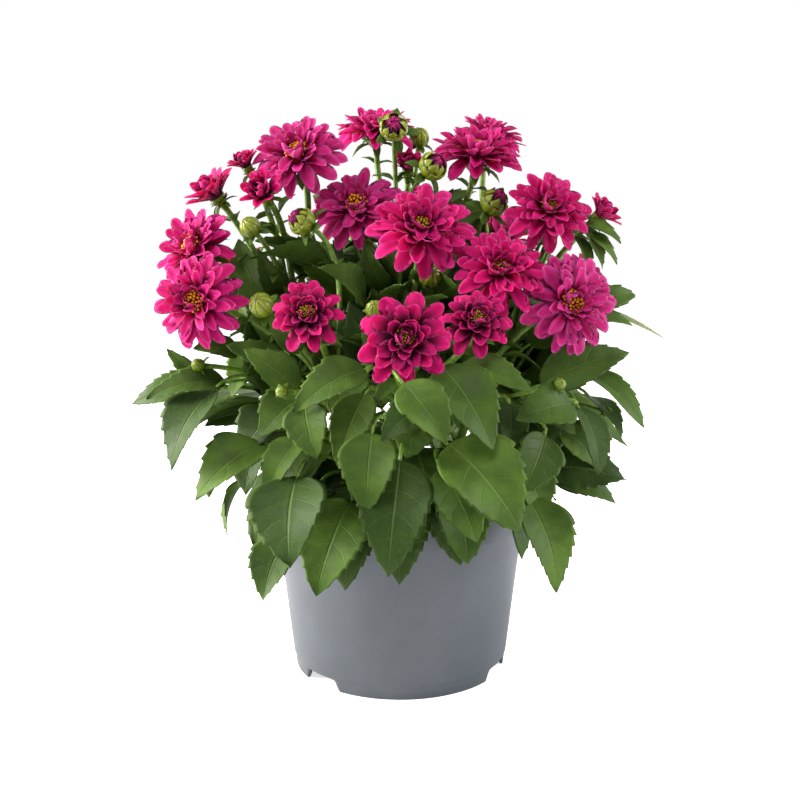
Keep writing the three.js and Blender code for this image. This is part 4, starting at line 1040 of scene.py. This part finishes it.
# %% Set the blooms
HUB_DEPTH = 0.2
ORANGE_AGE = 0.45
HEART_RISE, HEART_BREADTH = 5.4, 0.92
BUD_TOP, BUD_FILL = 8, 0.92


def hub_of(middle, facing, radius):
    """A bloom's hub and axis."""
    axis = direction(facing)
    return np.array(middle, float) - HUB_DEPTH * radius * axis, axis


for index, (name, shoot, middle, facing, radius, stage, age) in enumerate(BLOOMS):
    centre, axis = hub_of(middle, facing, radius)
    rng = np.random.default_rng(100 + index)
    shells = Shells()
    bloom_petals(shells, centre, axis, radius, stage, age, rng)
    skin, slot = (petal_skin, "petal") if stage == "open" else (young_skin, "petal_young")
    make_piece(f"bloom_{name}", shells, [skin], slot, f"petals_{name}")
    if stage in ("open", "full", "young"):
        heart = Shells()
        disc = STAGES[stage]["hub"] * radius * HEART_BREADTH
        tubes = floret_tubes(centre + axis * HEART_RISE, axis, disc, rng)
        levels = np.linspace(0, 1, len(FLORET_HEIGHTS))[:, None]
        heart.add(tubes, along=levels, tint=rng.random(FLORETS)[:, None, None])
        orange, yellow = (orange_florets, "disc_orange"), (yellow_florets, "disc_yellow")
        pollen, slot = orange if age > ORANGE_AGE else yellow
        make_piece(f"florets_{name}", heart, [pollen], slot, f"disc_{name}")

for index, (name, shoot, middle, facing, radius, coloured) in enumerate(BUDS):
    if coloured:
        axis = direction(facing)
        seat = radius * math.sin(math.radians(BUD_TOP)) + 0.3
        shells = Shells()
        rng = np.random.default_rng(200 + index)
        bloom_petals(shells, np.array(middle) + axis * seat, axis, radius * BUD_FILL, "tight", 0.0, rng)
        make_piece(f"petals_of_{name}", shells, [young_skin], "petal_young", f"petals_{name}")

# %% [markdown]
# ## Leaves
# A leaf is egg-shaped with a drawn-out tip. Its edge is smooth near the foot, and forward-pointing teeth
# line it further up. The blade arches from foot to tip, its edges rise a little, and it swells between
# its side veins. It is the same kind of grid as a petal, but its rows crowd where the teeth are: each
# tooth has four rows, from its notch out to its tip, and the tip is pushed forwards.

# %% Leaf blade
TOOTH_START, TOOTH_END = 0.4, 0.88
TOOTH_ROWS, TOOTH_RISE = np.array([0.14, 0.45, 0.8, 1.0]), [0.0, 0.3, 0.7, 1.0]
TOOTH_PITCH, TOOTH_DEPTH, TOOTH_PUSH = 9.5, 0.09, 0.2
LEAF_THICKNESS, LARGE_LEAF = 0.5, 24.0
ARCH, CUP, KEEL = 0.13, 0.4, 0.1
EDGE_TILT, EDGE_CURL = 0.035, 0.03
VEIN_PAIRS, VEIN_SWELL, GROOVE, GROOVE_WIDTH = 5.0, 0.005, 0.3, 0.07


def leaf_rows(teeth, smooth_rows):
    """Shares of the blade's length for its rows, and how far each row is on the way from its notch to
    its tooth's tip, which is 1 where the edge is smooth. The pitch is the share that one tooth takes."""
    pitch = (TOOTH_END - TOOTH_START) / teeth
    shares = TOOTH_START + pitch * (np.arange(teeth)[:, None] + TOOTH_ROWS)
    rise = np.broadcast_to(TOOTH_RISE, shares.shape)
    low, high = np.linspace(0, TOOTH_START, smooth_rows), np.linspace(TOOTH_END, 1, 5)[1:]
    rows = np.concatenate([low, shares.ravel(), high])
    rise = np.concatenate([np.ones(len(low)), rise.ravel(), np.ones(len(high))])
    return rows[:, None], rise[:, None], pitch


def leaf_blade(foot, tip, width, face, phase, fine=True):
    """A blade from foot to tip. At share s its half width is 0.5 * width * sin(pi * s^0.72)^0.88, less
    in the notches. At the distance a from the midrib it lifts by the arch 4 * ARCH * length * s * (1 - s),
    which is flatter in a narrow leaf, by CUP * a^2 / width + KEEL * a, by slow waves along the edges, and
    by swellings between the side veins. The midrib lies in a groove. Large leaves have more rows."""
    foot, tip, face = (np.array(v, float) for v in (foot, tip, face))
    length = np.linalg.norm(tip - foot)
    along = (tip - foot) / length
    normal = unit(face - (face @ along) * along)
    side = np.cross(normal, along)
    large = fine and length > LARGE_LEAF
    teeth = int(np.clip(round(length / TOOTH_PITCH), 2, 5))
    s, rise, pitch = leaf_rows(teeth, 10 if large else 5)
    t, upper = section(12 if large else 6)
    t = np.sign(t) * np.abs(t) ** 0.85
    toothed = (s > TOOTH_START) & (s < TOOTH_END + 0.01)
    half = 0.5 * width * np.sin(np.pi * s**0.72) ** 0.88 * (1 - TOOTH_DEPTH * (1 - rise) * np.abs(t) ** 3)
    half = np.where(s >= 1, 0.0, half)
    forward = toothed * pitch * length * TOOTH_PUSH * rise**3 * np.abs(t) ** 8
    a = half * t
    veins = np.cos(2 * np.pi * (VEIN_PAIRS * s - 1.1 * np.abs(t) ** 1.25)) * np.sin(np.pi * np.abs(t))
    fade = np.sin(np.pi * s)
    arch = ARCH * min(1.0, 2.2 * width / length)
    lift = 4 * arch * length * s * (1 - s) + CUP * a**2 / width + KEEL * np.abs(a)
    lift = lift + EDGE_TILT * width * np.sin(2 * np.pi * (1.1 * s + phase)) * t
    lift = lift + EDGE_CURL * width * np.cos(2 * np.pi * (0.9 * s + 1.7 * phase)) * t**2
    lift = lift + VEIN_SWELL * width * veins * fade
    lift = lift - GROOVE * np.exp(-((t / GROOVE_WIDTH) ** 2)) * fade
    lift = lift + 0.5 * LEAF_THICKNESS * upper * np.sqrt(1 - 0.9 * t**2) * fade**0.3
    shift = length * s + forward
    points = foot + shift[..., None] * along + a[..., None] * side + lift[..., None] * normal
    return points, np.broadcast_to(s, a.shape), np.broadcast_to(t, a.shape)


# %% Leaf stalks
LEAF_FORK_LOW, LEAF_FORK_HIGH, LEAF_STALK_DROP = 0.22, 0.9, 14.0
LEAF_STALK_RADII = (1.25, 0.75)
LEAF_STALK_STEPS = 14


def leaf_stalk(shoot, foot, tip):
    """A leaf's stalk leaves the stem a little below the blade's foot and swings out and up to it."""
    foot, tip = np.array(foot, float), np.array(tip, float)
    low, high = at_shares(STEMS[shoot], LEAF_FORK_LOW), at_shares(STEMS[shoot], LEAF_FORK_HIGH)
    share = np.clip((foot[2] - LEAF_STALK_DROP - low[2]) / (high[2] - low[2]), 0, 1)
    start = at_shares(STEMS[shoot], LEAF_FORK_LOW + (LEAF_FORK_HIGH - LEAF_FORK_LOW) * share)
    reach = np.linalg.norm(foot - start)
    away = (unit(foot - start) + UP) * 0.2 * reach
    end = foot + 0.04 * (tip - foot)
    return bezier(start, start + away, end - unit(tip - foot) * 0.35 * reach, end, LEAF_STALK_STEPS)


print("a leaf with 5 teeth has", len(leaf_rows(5, 10)[0]), "rows")

# %% [markdown]
# The leaf's green is darker between the veins and pale along them. The midrib is where the paint across
# is near zero. The side veins leave it at even steps and bend towards the tip, so they are where the
# share of the length, less a part of the distance across, comes round to the same fraction again. The
# blade swells by the same rule. Thin leaves have dried to the colour of straw, as the long one on the
# right has, and a bud is darkest along the seams between its scales.

# %% Leaf and stem finishes
recipe = Recipe("leaf_skin", Specular_IOR_Level=0.2)
along, across, tint = recipe.paint("along"), recipe.paint("across"), recipe.paint("tint")
where = recipe.place()
aside = recipe.sum("ABSOLUTE", across)
bend = recipe.sum("MULTIPLY", recipe.sum("POWER", aside, 1.25), 0.22)
beat = recipe.sum("FRACT", recipe.sum("MULTIPLY", recipe.sum("SUBTRACT", along, bend), VEIN_PAIRS))
vein_near = recipe.sum("ABSOLUTE", recipe.sum("SUBTRACT", beat, 0.5))
side_vein = recipe.ease(vein_near, 0.0, 0.05, 1.0, 0.0)
side_vein = recipe.sum("MULTIPLY", side_vein, recipe.ease(aside, 0.6, 0.92, 1.0, 0.0))
side_vein = recipe.sum("MULTIPLY", side_vein, recipe.ease(along, 0.68, 0.8, 1.0, 0.0))
midrib = recipe.ease(aside, 0.012, 0.05, 1.0, 0.0)
vein = recipe.sum("MAXIMUM", midrib, recipe.sum("MULTIPLY", side_vein, 0.32))
mottle = recipe.noise(where, 90.0, 4.0)
fine = recipe.noise(where, 900.0, 3.0)
green = recipe.mix(recipe.ease(mottle, 0.35, 0.7), screen(60, 85, 24), screen(79, 107, 33))
# Painted shade, in part: the tint mixes a leaf's green towards a dark green, both for greens that differ from
# leaf to leaf and for the shade that leaves cast on each other.
green = recipe.mix(recipe.ease(tint, 0.1, 0.9, 0.0, 0.8), green, screen(37, 59, 20))
green = recipe.mix(recipe.ease(fine, 0.45, 0.75, 0.0, 0.25), green, screen(80, 104, 36))
green = recipe.mix(recipe.sum("MULTIPLY", vein, 0.32), green, screen(124, 148, 74))
green = recipe.mix(recipe.ease(aside, 0.95, 1.0, 0.0, 0.4), green, screen(112, 134, 62))
green = recipe.mix(recipe.ease(tint, -1.0, -0.2, 0.85, 0.0), green, screen(150, 160, 112))
height = recipe.sum("SUBTRACT", recipe.sum("MULTIPLY", fine, 0.25), recipe.sum("MULTIPLY", vein, 0.9))
recipe.bump(height, 0.0004)
leaf_skin = recipe.finish(green, recipe.ease(mottle, 0.3, 0.7, 0.54, 0.68))

recipe = Recipe("stem_skin", Specular_IOR_Level=0.4, Subsurface_Weight=0.08, Subsurface_Scale=0.001)
where = recipe.place()
streaks = recipe.noise(where, 420.0, 3.0)
blush = recipe.noise(where, 45.0, 3.0)
stem_green = recipe.mix(recipe.ease(streaks, 0.35, 0.7), screen(94, 128, 40), screen(122, 154, 60))
stem_green = recipe.mix(recipe.ease(blush, 0.6, 0.8, 0.0, 0.25), stem_green, screen(120, 92, 52))
recipe.bump(streaks, 0.0002)
stem_skin = recipe.finish(stem_green, recipe.ease(blush, 0.3, 0.7, 0.36, 0.46))

recipe = Recipe("bud_skin", Specular_IOR_Level=0.5, Subsurface_Weight=0.05, Subsurface_Scale=0.001)
along, across = recipe.paint("along"), recipe.paint("across")
seam = recipe.ease(recipe.sum("ABSOLUTE", across), 0.55, 1.0)
bud_green = recipe.mix(recipe.ease(along, 0.2, 0.9), screen(88, 112, 16), screen(130, 142, 32))
bud_green = recipe.mix(recipe.ease(along, 0.86, 1.0, 0.0, 0.6), bud_green, screen(104, 60, 44))
bud_green = recipe.mix(recipe.sum("MULTIPLY", seam, 0.5), bud_green, screen(64, 72, 20))
recipe.bump(recipe.sum("SUBTRACT", recipe.noise(recipe.place(), 700.0, 3.0), seam), 0.0004)
bud_skin = recipe.finish(bud_green, recipe.ease(seam, 0.0, 1.0, 0.26, 0.45))

GREEN_SKINS = [stem_skin, leaf_skin, bud_skin]
LEAF_FINISH, BUD_FINISH = 1, 2
print("finishes of a shoot:", ", ".join(skin.name for skin in GREEN_SKINS))

# %% [markdown]
# ## Calyx and buds
# Behind each bloom sits a calyx: a green cup with thin scales pressed to it, and five narrow bracts that
# stand off and bend back. A closed bud is a glossy ball of such scales. In a coloured bud the ball is
# open above, and the tips of its scales stand round the petals. All are made with the same two helpers
# as the blooms, a turned shape and a whorl, which keeps the whole plant in one family of forms.

# %% Calyx
CALYX_LENGTH, CALYX_SIDES = 8.0, 16
CALYX_BRACTS, BRACT_STRAY, BRACT_TINT = 5, 0.15, -0.25
SCALES, SCALE_SIDES = 8, 6
RIPE_BUD = 4.5


def add_bracts(shells, foot, axis, inner, length, lengths, width, slope, tips, thickness, rng):
    """Five leafy bracts round a foot. Each length is the given one times a number from the range lengths,
    and each tip's slope comes from the range tips. A tip whose slope is below 0 bends back."""
    place = np.arange(CALYX_BRACTS) + rng.uniform(-BRACT_STRAY, BRACT_STRAY, CALYX_BRACTS)
    spin = 2 * np.pi * place / CALYX_BRACTS
    long = length * rng.uniform(*lengths, CALYX_BRACTS)
    points, along, across = whorl(
        foot, axis, spin, "lance", inner, 0.0, long, width, slope, rng.uniform(*tips, CALYX_BRACTS),
        0.35, 0.0, thickness,
    )
    shells.add(points, finish=LEAF_FINISH, along=along, across=across, tint=BRACT_TINT)


def calyx(shells, hub, axis, radius, stalk_radius, rng):
    """A cup that widens from the stalk to the hub, eight scales pressed to it, and five bracts."""
    rise = np.linspace(0, 1, 8)
    radii = stalk_radius + (radius - stalk_radius) * np.sin(rise * np.pi / 2) ** 1.6
    heights = -0.3 - CALYX_LENGTH * (1 - rise)
    tall = np.array([heights[0], *heights, -0.3])
    cup = turned_on(hub, axis, np.array([0, *radii, 0]), tall, CALYX_SIDES)
    shells.add(cup, finish=BUD_FINISH, along=0.4)
    spin = 2 * np.pi * np.arange(SCALES) / SCALES
    points, along, across = whorl(
        hub - axis * (0.55 * CALYX_LENGTH), axis, spin, "bract", radius * 0.5, 0.0, radius * 1.05,
        radius * 0.75, 46.0, 30.0, 0.25, 0.1, 0.4,
    )
    shells.add(points, finish=BUD_FINISH, along=along, across=across)
    length = max(1.8 * radius, 8.0)
    foot = hub - axis * (0.62 * CALYX_LENGTH)
    inner, width = radius * 0.3, length * 0.32
    add_bracts(shells, foot, axis, inner, length, (0.85, 1.1), width, 12.0, (-34, -8), 0.5, rng)


def bud_ball(shells, middle, axis, radius, top, rng):
    """A ball of scales from below up to the top angle in degrees. Its radius swells between the seams,
    and the paint across runs from seam to seam. Where the ball stays open, the free tips of its scales
    stand round the opening. Bracts stand off below. A bud smaller than a ripe one is painted plainer."""
    tilt = np.radians(np.linspace(-90, top, 14))
    swell = radius * np.cos(tilt) * (1 + 0.1 * np.clip(np.sin(tilt), 0, 1))
    heights = radius * np.sin(tilt) * (1 + 0.12 * np.clip(np.sin(tilt), 0, 1))
    if top < 90:
        swell, heights = np.append(swell, 0), np.append(heights, heights[-1])
    around = SCALES * SCALE_SIDES
    points = turned_on(middle, axis, swell, heights, around)
    seam = (np.arange(around) / SCALE_SIDES) % 1 * 2 - 1
    bulge = 1 + 0.05 * np.cos(seam * np.pi / 2)
    points = middle + (points - middle) * bulge[None, :, None]
    ripe = min(radius / RIPE_BUD, 1.0)
    share = np.linspace(0, ripe, len(swell))[:, None]
    shells.add(points, finish=BUD_FINISH, along=share, across=seam * ripe)
    if top < 90:
        spin = 2 * np.pi * np.arange(SCALES) / SCALES
        long = radius * rng.uniform(0.8, 1.15, SCALES)
        points, along, across = whorl(
            middle, axis, spin, "bract", radius * 0.9, -0.1 * radius, long, radius * 0.66, 80.0,
            rng.uniform(96, 122, SCALES), 0.2, 0.1, 0.4,
        )
        shells.add(points, finish=BUD_FINISH, along=0.4 + 0.6 * along, across=across)
    foot = middle - axis * (0.86 * radius)
    inner, width = radius * 0.35, radius * 0.66
    add_bracts(shells, foot, axis, inner, radius, (1.2, 1.7), width, 14.0, (-30, 14), 0.45, rng)


print("calyx with", SCALES, "scales and", CALYX_BRACTS, "bracts")

# %% [markdown]
# ## The leafy shoots
# Each shoot is one living piece, so it is one mesh: the main stem, the stalks of its heads, their
# calyxes and buds, and its leaves. Small leaves stand in pairs on the stalks, as on the real plant.

# %% Small leaves on the stalks
STALK_LEAVES = [(0.25, 27), (0.5, 22), (0.74, 16), (0.93, 12)]
BUD_STALK_LEAVES = [(0.4, 18), (0.75, 12)]


def stalk_leaves(shells, path, share, size, quarter, rng):
    """A pair of small leaves on opposite sides of a stalk, at a share of its length. The quarter is an
    angle in radians, which turns the pair round the stalk. Each leaf rises or droops a little."""
    point, ahead = at_shares(path, share), at_shares(path, share + 0.05)
    heading = unit(ahead - point)
    sideways, _ = axes_round(heading, quarter)
    for sign in (1, -1):
        out = sign * sideways
        aim = unit(out + 0.5 * heading - UP * rng.uniform(0.0, 0.45))
        foot = point + out * 1.2
        length = size * rng.uniform(0.8, 1.15)
        face = heading + 0.2 * UP
        blade, along, across = leaf_blade(foot, foot + aim * length, length * 0.48, face, rng.random())
        shells.add(blade, finish=LEAF_FINISH, along=along, across=across, tint=0.6 * rng.random() - 0.3)


# %% [markdown]
# A leaf's tint says how dark its green is, and its dark end is partly painted shade, for the shade that
# leaves cast on each other. It is drawn by lot. Leaves high up get at most half of it, as painted light,
# young narrow leaves are paler, and the thinnest have dried. A leaf that has no face of its own in the
# plan looks at the camera and up, and turns outwards the further out it stands.

# %% Grow the shoots
STALK_RADIUS, BUD_STALK_RADIUS, STALK_FLARE = 1.55, 1.25, 1.15
STEM_SIDES, STALK_SIDES, THIN_STALK_SIDES = 14, 10, 8
DRY_WIDTH, YOUNG_WIDTH, UPPER_LEAF = 6.0, 12.0, 152.0
FACE_SPREAD = 150


def grow_shoot(shoot, rng):
    """Gathers everything that grows on one shoot: its stem with a knot at every fifth of its length, the
    stalks with their heads and small leaves, and the large leaves with their stalks."""
    shells = Shells()
    foot = np.array([*SHOOTS[shoot][0], STEM_START])
    path = np.concatenate([np.linspace(foot, STEMS[shoot][0], 8, endpoint=False), STEMS[shoot]])
    share = np.linspace(0, 1, len(path))
    knots = 1 + 0.16 * np.exp(-(((share * 5) % 1 - 0.5) / 0.12) ** 2)
    shells.add(tube(path, (STEM_RADIUS + (STEM_TIP_RADIUS - STEM_RADIUS) * share) * knots, STEM_SIDES))
    for name, home, middle, facing, radius, stage, _ in BLOOMS:
        if home == shoot:
            hub, axis = hub_of(middle, facing, radius)
            size = hub_radius(stage, radius) - 0.2
            thin = min(STALK_RADIUS, size * 0.6)
            path = stalk_path(name, shoot, hub - axis * (0.3 + CALYX_LENGTH), axis)
            shells.add(tube(path, np.linspace(thin * STALK_FLARE, thin, len(path)), STALK_SIDES))
            calyx(shells, hub, axis, size, thin, rng)
            quarter = rng.uniform(0, 3)
            for share, size in STALK_LEAVES:
                stalk_leaves(shells, path, share, size, quarter + 3 * share, rng)
    for name, home, middle, facing, radius, coloured in BUDS:
        if home == shoot:
            axis = direction(facing)
            thin = min(BUD_STALK_RADIUS, radius * 0.4)
            path = stalk_path(name, shoot, np.array(middle) - axis * radius, axis)
            shells.add(tube(path, np.linspace(thin * STALK_FLARE, thin, len(path)), THIN_STALK_SIDES))
            bud_ball(shells, np.array(middle, float), axis, radius, BUD_TOP if coloured else 90, rng)
            if radius > RIPE_BUD:
                for share, size in BUD_STALK_LEAVES:
                    stalk_leaves(shells, path, share, size, rng.uniform(0, 3), rng)
    for home, start, end, width, *rest in [*NEAR_LEAVES, *RULED_LEAVES]:
        if home == shoot:
            look = rest[0] if rest else (start[0] / FACE_SPREAD, -0.75, 0.7)
            fine = rest[1] if len(rest) > 1 else True
            stalk = leaf_stalk(shoot, start, end)
            shells.add(tube(stalk, np.linspace(*LEAF_STALK_RADII, len(stalk)), THIN_STALK_SIDES))
            blade, along, across = leaf_blade(start, end, width, look, rng.random(), fine)
            # Painted light: a leaf high up draws at most half the dark tint, so it looks more lit than the
            # leaves below it.
            tint = rng.random() * (0.5 if start[2] > UPPER_LEAF else 1.0)
            tint = -1.0 if width < DRY_WIDTH else tint - 0.5 * (width < YOUNG_WIDTH)
            shells.add(blade, finish=LEAF_FINISH, along=along, across=across, tint=tint)
    return shells


for index, shoot in enumerate(SHOOTS):
    shells = grow_shoot(shoot, np.random.default_rng(300 + index))
    make_piece(f"leafy_shoot_{shoot}", shells, GREEN_SKINS, "green", f"shoot_{shoot}")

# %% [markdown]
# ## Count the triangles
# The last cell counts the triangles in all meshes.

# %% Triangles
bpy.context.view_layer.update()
meshes = [piece.data for piece in bpy.data.objects if piece.type == "MESH"]
print(sum(len(mesh.loops) - 2 * len(mesh.polygons) for mesh in meshes), "triangles in all")
